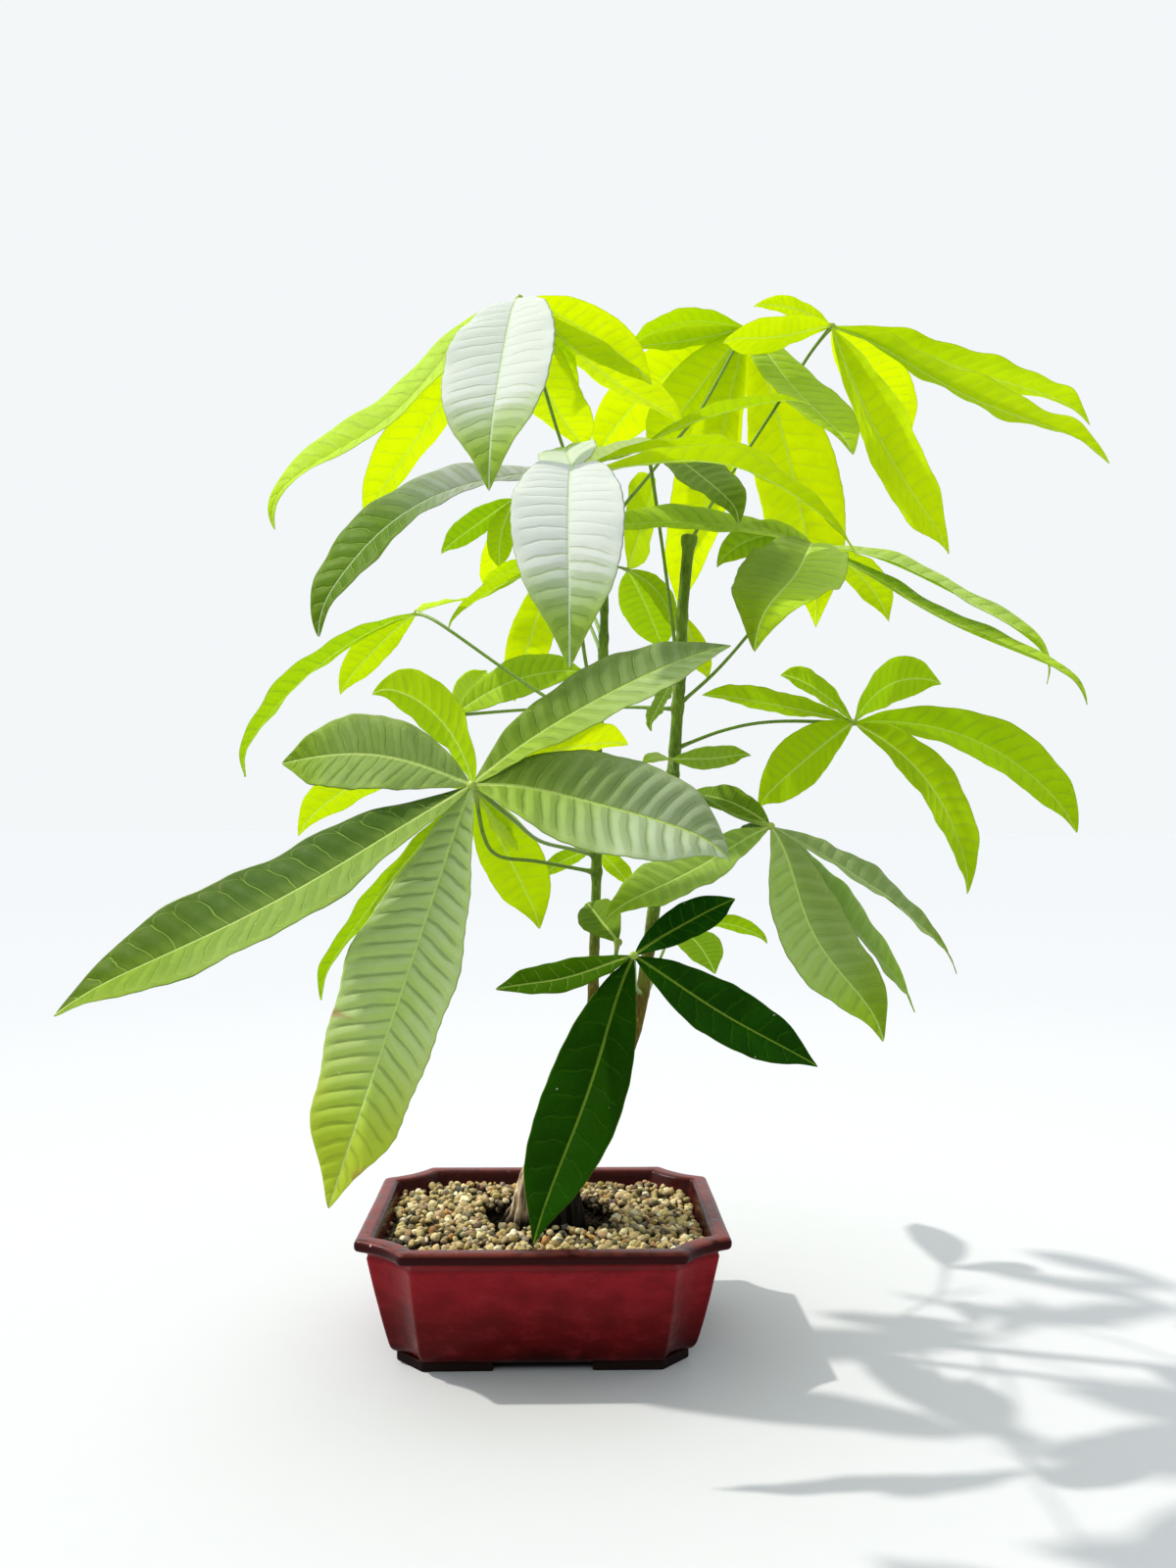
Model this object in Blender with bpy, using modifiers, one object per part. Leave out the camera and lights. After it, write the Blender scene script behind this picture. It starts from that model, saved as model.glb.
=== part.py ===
# Potted money tree: a small braid-less Pachira with two slender stems on one
# swollen root base, in a glazed rectangular bonsai pot with cut-in corners.
# Units are metres, +Z up. The plant and pot are laid out about the pot's
# centre, then the whole object is set so that its footprint box is centred.
import math

import bmesh
import bpy
from mathutils import Vector

MM = 0.001

# ---- driving dimensions -------------------------------------------------
# Where the pot's centre stands inside the object's overall footprint box.
POT_X = -0.085
POT_Y = 0.005

GAP = 0.0003              # air left between pieces that touch

POT_HALF_X = 0.1000       # rim, half the outer length
POT_HALF_Y = 0.0752       # rim, half the outer width
POT_HEIGHT = 0.0671
BASE_HALF_X = 0.0815      # body at the foot, half length
BASE_HALF_Y = 0.0590
RIM_CUT_X = 0.0265        # cut-in corner at the rim, along X and along Y
RIM_CUT_Y = 0.0215
BASE_CUT_X = 0.0180
BASE_CUT_Y = 0.0150
CORNER_BOW = 0.0030       # how far each cut corner curves inwards
RIM_OVERHANG = 0.0045
WALL = 0.0062
FLOOR_Z = 0.0095
UNDERSIDE_Z = 0.0040
FOOT_HEIGHT = 0.0052
# One foot seen from above, a bent bar that follows the cut corner, in mm.
FOOT_PLAN = [(26, 56), (63, 56), (78, 42), (78, 20), (68, 20), (68, 38), (58, 46), (26, 46)]
DRAIN_RADIUS = 0.0070
DRAIN_X = 0.0350

SOIL_TOP_Z = 0.0535
GRAVEL_TOP_Z = 0.0608
GRAVEL_HOLE = (0.0020, 0.0020, 0.0360, 0.0345)   # centre x, y and half sizes

BLADE_MID = 0.0010        # leaf thickness along the midrib
BLADE_EDGE = 0.0006
BLADE_FOLD = 10.0         # degrees each half of a blade lifts from flat
PETIOLE_RADIUS = 0.0012
HUB_RADIUS = 0.0024

TWIST = math.radians(1.0)

# ---- root base and stems ------------------------------------------------
# Each ring: centre x, centre y, height, radius, all in mm.
TRUNK_RINGS = [
    (1, 0, 34, 15.0),
    (0, 0, 46, 18.5),
    (0, 0, 58, 18.5),
    (0, 0, 66, 18.0),
    (1, 0, 76, 17.5),
    (4, 0, 87, 17.0),
    (10, 1, 99, 17.0),
    (18, 2, 112, 16.5),
    (26, 4, 124, 14.8),
    (30, 5, 130, 13.5),
]
ROOT_LOBES = 0.10         # how strongly the base swells into root ridges

# Each point: x, y, height, radius, all in mm.
STEMS = {
    "stem_left": [
        (22, 1, 130.3, 4.6), (22, 1, 133, 4.5), (24, 0, 145, 4.0), (27, 0, 180, 3.3), (28, 0, 215, 3.0),
        (29, 0, 252, 2.9), (29, 0, 290, 2.9), (29, 0, 315, 2.8), (30, 0, 344, 2.8),
        (32, 0, 375, 2.7), (33, 0, 401, 2.6), (33, 0, 430, 2.5), (33, 0, 452, 2.4),
    ],
    "stem_right": [
        (37, 8, 130.3, 5.2), (37, 8, 133, 5.1), (43, 10, 143, 4.8), (54, 15, 171, 4.3), (60, 15, 207, 3.9),
        (64, 15, 237, 3.8), (70, 15, 277, 3.7), (75, 15, 316, 3.6), (78, 15, 357, 3.5),
        (80, 15, 390, 3.4), (81, 15, 416, 3.4), (84, 15, 450, 3.6), (85, 15, 460, 4.2),
    ],
}

# ---- leaves -------------------------------------------------------------
# A leaf is a stalk from its stem to a hub, and leaflets fanned round the hub.
# "stalk" lists the points the stalk passes through, x, y, height in mm, from
# the stem to just before the hub. Each leaflet is:
#   heading   compass direction it sets out in, degrees from +X towards +Y
#   rise      how steeply it climbs at the hub, degrees
#   droop     how far it bends down by its tip, degrees
#   sweep     how far it turns sideways by its tip, degrees
#   wave      how strongly it first lifts and then dips along its length, degrees
#   length    hub to tip, mm
#   width     at the widest, mm
#   roll      tilt of the blade about its midrib, degrees
LEAVES = {
    "leaf_front_left": {
        "stem": "stem_left", "hub": (-31, -166, 302),
        "stalk": [(27, 0, 268), (14, -37, 272), (-3, -74, 277), (-15, -130, 288)],
        "leaflets": [
            (166, 23, 33, -8, 3, 96, 38, -65),
            (-167, -30, -3, 0, -3, 190, 57, -30),
            (-152, -69, 3, -1, -1, 182, 55, -35),
            (-13, 5, 39, -3, -6, 118, 48, 60),
            (13, 43, 28, 1, -2, 139, 42, 35),
            (44, 24, 20, -2, 1, 102, 33, -35),
        ],
    },
    "leaf_lower_left_back": {
        "stem": "stem_left", "hub": (-38, -51, 303),
        "stalk": [(28, 0, 258), (14, -10, 261), (-6, -24, 265), (-25, -40, 268), (-33, -48, 278)],
        "leaflets": [
            (62, -41, 12, -2, -2, 106, 35, -30),
            (167, -41, 19, 0, 0, 146, 26, 5),
            (165, 16, 54, -14, 7, 123, 34, 25),
            (52, -42, 1, -6, -8, 47, 16, 65),
            (138, 74, 75, 6, -2, 109, 36, 70),
        ],
    },
    "sprout_left_low": {
        "stem": "stem_left", "hub": (30, 56, 270),
        "stalk": [(29, 2, 258), (30, 26, 263)],
        "leaflets": [
            (166, -12, 31, 0, 1, 40, 14, 50),
            (51, -20, 26, -1, -2, 45, 15, -25),
        ],
    },
    "leaf_top_front": {
        "stem": "stem_left", "hub": (14, -100, 462),
        "stalk": [(30, 0, 341), (25, -10, 363), (19, -40, 392), (17, -70, 427)],
        "leaflets": [
            (-94, -7, 72, 6, -4, 179, 48, 0),
            (96, 34, 14, -4, -4, 79, 32, -15),
            (-176, -4, 59, 11, 5, 165, 45, -35),
            (18, 29, 45, 11, -1, 132, 32, 5),
            (-6, 0, 32, -4, 13, 156, 41, 5),
            (42, 29, 17, 1, 2, 95, 28, 20),
        ],
    },
    "leaf_crown_small": {
        "stem": "stem_right", "hub": (57, -5, 509),
        "stalk": [(78, 15, 375), (74, 8, 405), (67, 3, 453), (61, 0, 492)],
        "leaflets": [
            (-32, 21, 35, -1, -3, 103, 28, 10),
            (-42, -21, 39, -1, -6, 90, 30, 35),
            (-132, -17, 17, 0, -4, 37, 12, -30),
        ],
    },
    "leaf_top_left": {
        "stem": "stem_left", "hub": (-17, -20, 587),
        "stalk": [(33, 0, 448), (23, 4, 473), (8, 3, 510), (-5, -9, 548)],
        "leaflets": [
            (-95, -26, 48, 1, -7, 193, 58, 10),
            (-177, -21, 43, 2, -20, 201, 52, -35),
            (152, -37, 20, 0, -4, 165, 49, -5),
            (22, -9, 27, 0, 0, 94, 32, -25),
            (67, -6, 42, 1, 6, 93, 28, 20),
            (41, -22, -10, -6, -3, 142, 47, 10),
            (76, -29, -8, -15, -10, 127, 42, 5),
        ],
    },
    "leaf_top_centre": {
        "stem": "stem_left", "hub": (133, 91, 622),
        "stalk": [(34, 0, 446), (42, 13, 472), (60, 26, 498), (79, 41, 526), (98, 56, 554), (124, 77, 605)],
        "leaflets": [
            (176, 12, 40, 0, 7, 86, 26, 10),
            (175, -11, -5, 2, -2, 80, 24, 10),
            (142, -37, 13, 2, -2, 109, 44, 45),
            (132, -69, 4, 1, -3, 194, 59, 0),
            (38, -53, 32, 1, -3, 211, 63, -15),
            (151, -10, 44, -1, 0, 143, 47, 30),
            (-64, -48, -3, -2, -3, 161, 48, 5),
        ],
    },
    "leaf_top_right": {
        "stem": "stem_right", "hub": (184, 64, 612),
        "stalk": [(85, 15, 455), (101, 33, 485), (127, 54, 526), (154, 68, 569), (171, 68, 596)],
        "leaflets": [
            (-153, -17, 2, 2, -5, 93, 30, 30),
            (156, 39, 29, 0, 2, 58, 16, 25),
            (45, -13, 24, -1, 1, 116, 42, -10),
            (-49, -70, -15, 2, -1, 184, 55, -55),
            (6, -1, 29, 1, -9, 192, 50, 10),
            (-10, -20, 18, -1, -10, 198, 54, 5),
        ],
    },
    "leaf_right_upper": {
        "stem": "stem_right", "hub": (153, -20, 445),
        "stalk": [(78, 15, 357), (100, 8, 377), (119, 0, 399), (137, -12, 422)],
        "leaflets": [
            (-106, -1, 54, -17, -13, 170, 51, -15),
            (179, 22, 66, 2, 7, 64, 21, -75),
            (-175, 16, 27, 0, 1, 132, 40, -35),
            (-8, 0, 59, -1, -8, 161, 39, 25),
            (-25, -27, 8, 3, -7, 174, 42, 15),
            (38, -5, 35, 6, 3, 85, 26, -5),
        ],
    },
    "leaf_right_middle": {
        "stem": "stem_right", "hub": (188, 30, 349),
        "stalk": [(76, 15, 331), (107, 20, 343), (139, 27, 349)],
        "leaflets": [
            (-14, 5, 64, 2, 1, 154, 51, -25),
            (-42, -27, 55, 1, 2, 131, 43, -50),
            (41, 47, 54, -12, 2, 97, 32, -70),
            (118, 44, 30, 2, -1, 79, 24, 55),
            (161, 18, 11, 0, -1, 97, 29, 25),
            (-149, -26, 16, -1, -2, 94, 34, 90),
        ],
    },
    "leaf_right_lower": {
        "stem": "stem_right", "hub": (123, -41, 285),
        "stalk": [(75, 15, 314), (90, -10, 302), (105, -31, 291)],
        "leaflets": [
            (-43, -49, 19, 5, -18, 129, 43, 35),
            (15, -25, 17, 0, 1, 147, 44, 30),
            (36, -39, 3, -2, -1, 169, 50, 50),
            (-154, -21, 6, -3, -4, 112, 34, -30),
            (129, 31, 31, 0, 1, 71, 23, -30),
            (110, -9, 7, 2, -7, 58, 19, -60),
        ],
    },
    "leaf_low_front": {
        "stem": "stem_right", "hub": (44, -100, 221),
        "stalk": [(56, 15, 186), (50, -30, 196), (46, -75, 212)],
        "leaflets": [
            (-163, -12, -2, -1, -6, 71, 21, -35),
            (20, 33, 16, 1, -2, 63, 21, 45),
            (-13, -30, -1, 1, -3, 102, 34, 45),
            (-139, -56, 15, -2, -7, 140, 39, -35),
        ],
    },
    "sprout_low_oval": {
        "stem": "stem_left", "hub": (38, -65, 224),
        "stalk": [(27, 0, 172), (33, -30, 190), (37, -52, 212)],
        "leaflets": [
            (107, 24, 14, -3, -4, 58, 23, -30),
        ],
    },
    "leaf_low_back_right": {
        "stem": "stem_right", "hub": (88, 127, 214),
        "stalk": [(52, 15, 165), (64, 51, 183), (76, 82, 204)],
        "leaflets": [
            (0, 13, 40, 1, 5, 69, 20, -35),
            (63, -13, 25, -1, 3, 94, 31, -15),
        ],
    },
    "leaf_left_middle": {
        "stem": "stem_left", "hub": (-86, 75, 423),
        "stalk": [(30, 0, 342), (1, 11, 360), (-29, 30, 382), (-69, 50, 412)],
        "leaflets": [
            (-168, -18, 51, 0, -2, 160, 41, 10),
            (157, -29, 23, 1, -1, 78, 25, 30),
            (65, 25, 15, 0, -2, 67, 22, 0),
        ],
    },
    "leaf_left_centre_small": {
        "stem": "stem_right", "hub": (-65, 114, 360),
        "stalk": [(78, 15, 355), (51, 34, 358), (25, 61, 360), (-16, 84, 361)],
        "leaflets": [
            (151, 49, 28, 0, -1, 31, 12, 95),
            (50, 62, 31, 0, 0, 48, 19, 45),
            (-23, 33, 35, 1, 2, 102, 34, 65),
        ],
    },
    "leaf_left_upper_small": {
        "stem": "stem_left", "hub": (-25, 164, 525),
        "stalk": [(32, 0, 395), (25, 47, 423), (1, 105, 473)],
        "leaflets": [
            (180, -28, 17, 0, -3, 69, 22, 45),
            (179, -59, 37, 0, 2, 55, 20, 80),
            (116, -35, 23, 2, -2, 82, 25, -15),
        ],
    },
    "leaf_left_back_small": {
        "stem": "stem_left", "hub": (4, 121, 466),
        "stalk": [(32, 0, 385), (21, 57, 424)],
        "leaflets": [
            (180, 3, 41, 0, 4, 57, 18, 15),
            (-164, -15, 33, 2, -1, 92, 25, 15),
            (124, -46, 25, 0, -6, 106, 32, 25),
        ],
    },
    "leaf_centre_back": {
        "stem": "stem_left", "hub": (48, 20, 440),
        "stalk": [(33, 0, 425), (40, 8, 438)],
        "leaflets": [
            (69, -14, 25, -2, -2, 85, 34, -10),
            (26, -21, 50, 1, 6, 52, 17, 80),
            (70, 52, 10, 4, -5, 108, 43, -100),
        ],
    },
    "sprout_right_leaflet": {
        "stem": "stem_right", "hub": (71, -10, 323),
        "stalk": [(75, 15, 316), (73, 0, 320)],
        "leaflets": [
            (-25, 5, 5, 0, -6, 48, 16, 60),
            (-150, 12, 37, 0, 3, 20, 8, -45),
        ],
    },
    "sprout_right_curled": {
        "stem": "stem_right", "hub": (74, -10, 371),
        "stalk": [(78, 15, 367), (76, 3, 370)],
        "leaflets": [
            (-131, -42, 17, -1, -4, 42, 13, 5),
        ],
    },
    "leaf_back_small": {
        "stem": "stem_right", "hub": (84, 40, 416),
        "stalk": [(81, 15, 410), (82, 28, 416)],
        "leaflets": [
            (31, -58, 8, -1, -7, 43, 15, -45),
        ],
    },
}


# ---- helpers ------------------------------------------------------------
def clear_scene():
    for obj in list(bpy.data.objects):
        bpy.data.objects.remove(obj, do_unlink=True)


def new_collection(name):
    collection = bpy.data.collections.new(name)
    bpy.context.scene.collection.children.link(collection)
    return collection


def material(name, colour, roughness, metallic=0.0):
    mat = bpy.data.materials.new(name)
    mat.use_nodes = True
    shader = mat.node_tree.nodes["Principled BSDF"]
    shader.inputs["Base Color"].default_value = (*colour, 1.0)
    shader.inputs["Roughness"].default_value = roughness
    shader.inputs["Metallic"].default_value = metallic
    mat.diffuse_color = (*colour, 1.0)
    return mat


def mesh_object(name, bm, collection):
    bmesh.ops.recalc_face_normals(bm, faces=bm.faces)
    mesh = bpy.data.meshes.new(name)
    bm.to_mesh(mesh)
    bm.free()
    obj = bpy.data.objects.new(name, mesh)
    collection.objects.link(obj)
    return obj


def loft(name, rings, collection):
    """Skin a list of rings that hold the same number of points, ends capped."""
    bm = bmesh.new()
    rows = [[bm.verts.new(point) for point in ring] for ring in rings]
    count = len(rows[0])
    for low, high in zip(rows, rows[1:]):
        for i in range(count):
            j = (i + 1) % count
            bm.faces.new((low[i], low[j], high[j], high[i]))
    bm.faces.new(list(reversed(rows[0])))
    bm.faces.new(rows[-1])
    return mesh_object(name, bm, collection)


def boolean(obj, cutter, operation, solver="EXACT"):
    mod = obj.modifiers.new(operation.lower() + "_" + cutter.name, "BOOLEAN")
    mod.operation = operation
    mod.solver = solver
    mod.object = cutter


def hide_cutter(obj, cutters):
    for collection in list(obj.users_collection):
        collection.objects.unlink(obj)
    cutters.objects.link(obj)
    obj.hide_render = True
    obj.display_type = "WIRE"


def settle(obj):
    """Replace an object's mesh by its evaluated one and drop its modifiers."""
    bpy.context.view_layer.update()
    graph = bpy.context.evaluated_depsgraph_get()
    mesh = bpy.data.meshes.new_from_object(obj.evaluated_get(graph), depsgraph=graph)
    obj.modifiers.clear()
    obj.data = mesh
    return obj


def fuse(base, others, solver="EXACT"):
    """Union the other objects into the base one and remove them."""
    for other in others:
        boolean(base, other, "UNION", solver)
    settle(base)
    for other in others:
        bpy.data.objects.remove(other, do_unlink=True)
    return base


def fill_pockets(obj):
    """Remove the inner skin of any pocket that crossing blades have closed in."""
    bm = bmesh.new()
    bm.from_mesh(obj.data)
    left = set(bm.verts)
    shells = []
    while left:
        seed = left.pop()
        shell, edge_of = {seed}, [seed]
        while edge_of:
            for edge in edge_of.pop().link_edges:
                for vert in edge.verts:
                    if vert not in shell:
                        shell.add(vert)
                        edge_of.append(vert)
        left -= shell
        shells.append(shell)
    shells.sort(key=len)
    bmesh.ops.delete(bm, geom=[v for shell in shells[:-1] for v in shell], context="VERTS")
    bm.to_mesh(obj.data)
    bm.free()
    return obj


def smooth_path(points, steps):
    """Catmull-Rom curve through the points, with steps spans between each pair."""
    ends = [points[0] * 2 - points[1]] + list(points) + [points[-1] * 2 - points[-2]]
    path = []
    for a, b, c, d in zip(ends, ends[1:], ends[2:], ends[3:]):
        for i in range(steps):
            t = i / steps
            path.append(
                0.5 * (2 * b + (c - a) * t + (2 * a - 5 * b + 4 * c - d) * t * t
                       + (3 * b - a - 3 * c + d) * t ** 3)
            )
    path.append(points[-1].copy())
    return path


def tube(name, path, radii, collection):
    """A tapering tube along a path, as a closed mesh."""
    curve = bpy.data.curves.new(name, "CURVE")
    curve.dimensions = "3D"
    curve.bevel_depth = 1.0
    curve.bevel_resolution = 1
    curve.use_fill_caps = True
    spline = curve.splines.new("POLY")
    spline.points.add(len(path) - 1)
    for point, place, radius in zip(spline.points, path, radii):
        point.co = (*place, 1.0)
        point.radius = radius
    holder = bpy.data.objects.new(name + "_curve", curve)
    collection.objects.link(holder)
    bpy.context.view_layer.update()
    graph = bpy.context.evaluated_depsgraph_get()
    mesh = bpy.data.meshes.new_from_object(holder.evaluated_get(graph), depsgraph=graph)
    bm = bmesh.new()
    bm.from_mesh(mesh)
    bmesh.ops.remove_doubles(bm, verts=bm.verts, dist=0.00002)
    obj = mesh_object(name, bm, collection)
    obj.matrix_world = holder.matrix_world
    bpy.data.objects.remove(holder, do_unlink=True)
    return obj


# ---- pot ----------------------------------------------------------------
def pot_outline(half_x, half_y, cut_x, cut_y, bow, z, spans=6):
    """Rectangle with its four corners cut off on a line that curves inwards."""
    points = []
    for sx, sy in ((1, -1), (1, 1), (-1, 1), (-1, -1)):
        near_end = Vector((sx * (half_x - cut_x), sy * half_y))
        side_end = Vector((sx * half_x, sy * (half_y - cut_y)))
        start, end = (near_end, side_end) if sx * sy < 0 else (side_end, near_end)
        inwards = Vector((-sx * cut_y, -sy * cut_x)).normalized()
        for i in range(spans + 1):
            u = i / spans
            p = start.lerp(end, u) + inwards * bow * 4 * u * (1 - u)
            points.append((p.x, p.y, z))
    return points


def body_outline(z, inset):
    """The pot body's section at a height, moved inwards by inset."""
    u = (z - UNDERSIDE_Z) / (POT_HEIGHT - 0.006 - UNDERSIDE_Z)
    top_x = POT_HALF_X - RIM_OVERHANG
    top_y = POT_HALF_Y - RIM_OVERHANG
    half_x = BASE_HALF_X + (top_x - BASE_HALF_X) * u - inset
    half_y = BASE_HALF_Y + (top_y - BASE_HALF_Y) * u - inset
    cut_x = BASE_CUT_X + (RIM_CUT_X - BASE_CUT_X) * u - 0.4 * inset
    cut_y = BASE_CUT_Y + (RIM_CUT_Y - BASE_CUT_Y) * u - 0.4 * inset
    return pot_outline(half_x, half_y, cut_x, cut_y, CORNER_BOW, z)


def rim_outline(z, inset):
    return pot_outline(POT_HALF_X - inset, POT_HALF_Y - inset,
                       RIM_CUT_X - 0.4 * inset, RIM_CUT_Y - 0.4 * inset, CORNER_BOW, z)


def build_foot(sx, sy, parts):
    """A corner foot: its plan pulled up from the ground into the pot's underside."""
    plan = [Vector((sx * x, sy * y, 0.0)) / 1000.0 for x, y in FOOT_PLAN]
    if sx * sy > 0:
        plan.reverse()
    bm = bmesh.new()
    low = [bm.verts.new(p) for p in plan]
    high = [bm.verts.new(p + Vector((0, 0, FOOT_HEIGHT))) for p in plan]
    count = len(plan)
    bm.faces.new(low[::-1])
    bm.faces.new(high)
    for i in range(count):
        bm.faces.new((low[i], low[(i + 1) % count], high[(i + 1) % count], high[i]))
    bmesh.ops.recalc_face_normals(bm, faces=bm.faces)
    return mesh_object("foot_%d_%d" % (sx, sy), bm, parts)


def build_pot(parts, cutters):
    top = POT_HEIGHT
    rings = [
        body_outline(UNDERSIDE_Z, 0.0045),
        body_outline(UNDERSIDE_Z + 0.0008, 0.0022),
        body_outline(UNDERSIDE_Z + 0.0028, 0.0006),
        body_outline(UNDERSIDE_Z + 0.0060, 0.0),
        body_outline(0.0300, 0.0),
        body_outline(0.0560, 0.0),
        body_outline(0.0590, -0.0005),
        rim_outline(top - 0.0062, 0.0030),
        rim_outline(top - 0.0050, 0.0008),
        rim_outline(top - 0.0028, 0.0),
        rim_outline(top - 0.0010, 0.0006),
        rim_outline(top, 0.0024),
        rim_outline(top, 0.0080),
        rim_outline(top - 0.0010, 0.0098),
        rim_outline(top - 0.0040, 0.0106),
        body_outline(0.0300, WALL),
        body_outline(FLOOR_Z + 0.0030, WALL),
        body_outline(FLOOR_Z, WALL + 0.0035),
    ]
    pot = loft("pot", rings, parts)
    feet = [build_foot(sx, sy, parts) for sx in (-1, 1) for sy in (-1, 1)]
    fuse(pot, feet)
    for side in (-1, 1):
        bpy.ops.mesh.primitive_cylinder_add(
            radius=DRAIN_RADIUS, depth=0.03, vertices=24,
            location=(side * DRAIN_X, 0.0, 0.008))
        hole = bpy.context.object
        hole.name = "drain_hole_left" if side < 0 else "drain_hole_right"
        boolean(pot, hole, "DIFFERENCE")
        hide_cutter(hole, cutters)
    settle(pot)
    pot.data.shade_smooth()
    pot.data.set_sharp_from_angle(angle=math.radians(35))
    return pot


def build_screens(parts):
    """The two plastic nets that keep the soil out of the drain holes."""
    screens = []
    for side, name in ((-1, "drain_screen_left"), (1, "drain_screen_right")):
        bm = bmesh.new()
        bmesh.ops.create_grid(bm, x_segments=7, y_segments=7, size=0.012)
        cell = 0.024 / 7
        openings = [f for f in bm.faces
                    if all(round(c / cell) % 2 for c in f.calc_center_median()[:2])]
        bmesh.ops.delete(bm, geom=openings, context="FACES")
        net = mesh_object(name, bm, parts)
        net.location = (side * DRAIN_X, 0.0, FLOOR_Z + GAP)
        solid = net.modifiers.new("net_thickness", "SOLIDIFY")
        solid.thickness = 0.0010
        solid.offset = 1.0
        screens.append(net)
    return screens


def trunk_rings(extra):
    rings = []
    for x, y, z, radius in TRUNK_RINGS:
        ring = []
        fade = max(0.15, min(1.0, (118 - z) / 45))
        for i in range(18):
            a = 2 * math.pi * i / 18
            swell = 1 + fade * ROOT_LOBES * (math.cos(3 * a + 0.6) + 0.45 * math.cos(5 * a + 2.1)) / 1.45
            r = radius * MM * swell + extra
            ring.append((x * MM + r * math.cos(a), y * MM + r * math.sin(a), z * MM))
        rings.append(ring)
    return rings


def build_soil(parts, cutters):
    rings = [
        body_outline(FLOOR_Z + GAP, WALL + 0.0042),
        body_outline(FLOOR_Z + 0.0033, WALL + 0.0006),
        body_outline(0.0300, WALL + 0.0004),
        body_outline(SOIL_TOP_Z - 0.0020, WALL + 0.0012),
        body_outline(SOIL_TOP_Z, WALL + 0.0030),
    ]
    soil = loft("soil", rings, parts)
    clearance = trunk_rings(0.0004)
    clearance[0] = [(x, y, z - GAP) for x, y, z in clearance[0]]
    socket = loft("root_socket", clearance, parts)
    boolean(soil, socket, "DIFFERENCE")
    hide_cutter(socket, cutters)
    for side in (-1, 1):
        bpy.ops.mesh.primitive_cube_add(size=1.0, location=(side * DRAIN_X, 0.0, FLOOR_Z))
        bed = bpy.context.object
        bed.name = "screen_bed_left" if side < 0 else "screen_bed_right"
        bed.scale = (0.0262, 0.0262, 0.0040)
        boolean(soil, bed, "DIFFERENCE")
        hide_cutter(bed, cutters)
    return settle(soil)


def build_gravel(parts, cutters):
    rings = [
        body_outline(SOIL_TOP_Z + GAP, WALL + 0.0028),
        body_outline(SOIL_TOP_Z + 0.0030, WALL + 0.0012),
        body_outline(GRAVEL_TOP_Z - 0.0015, WALL + 0.0014),
        body_outline(GRAVEL_TOP_Z, WALL + 0.0032),
    ]
    gravel = loft("gravel", rings, parts)
    cx, cy, rx, ry = GRAVEL_HOLE
    hollow = []
    for z, grow in ((SOIL_TOP_Z - 0.004, 0.0), (SOIL_TOP_Z + 0.001, 0.0),
                    (GRAVEL_TOP_Z - 0.001, 0.001), (GRAVEL_TOP_Z + 0.004, 0.004)):
        ring = []
        for i in range(28):
            a = 2 * math.pi * i / 28
            wave = 1 + 0.04 * math.sin(3 * a + 0.4) + 0.03 * math.sin(5 * a)
            ring.append((cx + (rx + grow) * wave * math.cos(a),
                         cy + (ry + grow) * wave * math.sin(a), z))
        hollow.append(ring)
    hole = loft("gravel_hollow", hollow, parts)
    boolean(gravel, hole, "DIFFERENCE")
    hide_cutter(hole, cutters)
    return settle(gravel)


# ---- leaves -------------------------------------------------------------
def blade_width(t):
    """Relative width along a leaflet: narrow base, widest past the middle."""
    belly, a = 0.55, 0.95
    b = a * (1 - belly) / belly
    return (t ** a) * ((1 - t) ** b) / (belly ** a * (1 - belly) ** b)


def leaflet(name, hub, spec, collection):
    heading, rise, droop, sweep, wave, length, width, roll = spec
    length, width = length * MM, width * MM
    fine = 24
    points, frames = [hub.copy()], []
    for i in range(fine):
        t = (i + 0.5) / fine
        h = math.radians(heading + sweep * t)
        e = math.radians(rise - droop * t + wave * math.sin(2 * math.pi * t))
        step = Vector((math.cos(h) * math.cos(e), math.sin(h) * math.cos(e), math.sin(e)))
        points.append(points[-1] + step * length / fine)
    stations = (0, 2, 6, 10, 14, 18, 22, 24) if length > 0.06 else (0, 2, 7, 12, 18, 24)
    rings = []
    for k in stations:
        t = k / fine
        h = math.radians(heading + sweep * t)
        e = math.radians(rise - droop * t + wave * math.sin(2 * math.pi * t))
        along = Vector((math.cos(h) * math.cos(e), math.sin(h) * math.cos(e), math.sin(e)))
        level = Vector((-math.sin(h), math.cos(h), 0.0))
        up = along.cross(level)
        r = math.radians(roll)
        side = level * math.cos(r) + up * math.sin(r)
        normal = up * math.cos(r) - level * math.sin(r)
        half = max(0.0011 if k < 12 else 0.0005, width / 2 * blade_width(t))
        lift = half * math.sin(math.radians(BLADE_FOLD)) if t > 0.05 else 0.0
        mid = (BLADE_MID if k > 2 else 0.0018) * (0.7 if k >= 22 else 1.0) / 2
        edge = (BLADE_EDGE if k > 2 else 0.0014) / 2
        c = points[k]
        rings.append([
            c - side * half + normal * (lift - edge),
            c - normal * mid,
            c + side * half + normal * (lift - edge),
            c + side * half + normal * (lift + edge),
            c + normal * mid,
            c - side * half + normal * (lift + edge),
        ])
    return loft(name, rings, collection)


def stem_distance(point, stem):
    """Distance from a point to a stem's skin."""
    best = 1.0
    for (ax, ay, az, ar), (bx, by, bz, br) in zip(stem, stem[1:]):
        a, b = Vector((ax, ay, az)) * MM, Vector((bx, by, bz)) * MM
        span = b - a
        u = max(0.0, min(1.0, (point - a).dot(span) / span.length_squared))
        best = min(best, (point - (a + span * u)).length - (ar + (br - ar) * u) * MM)
    return best


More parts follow.
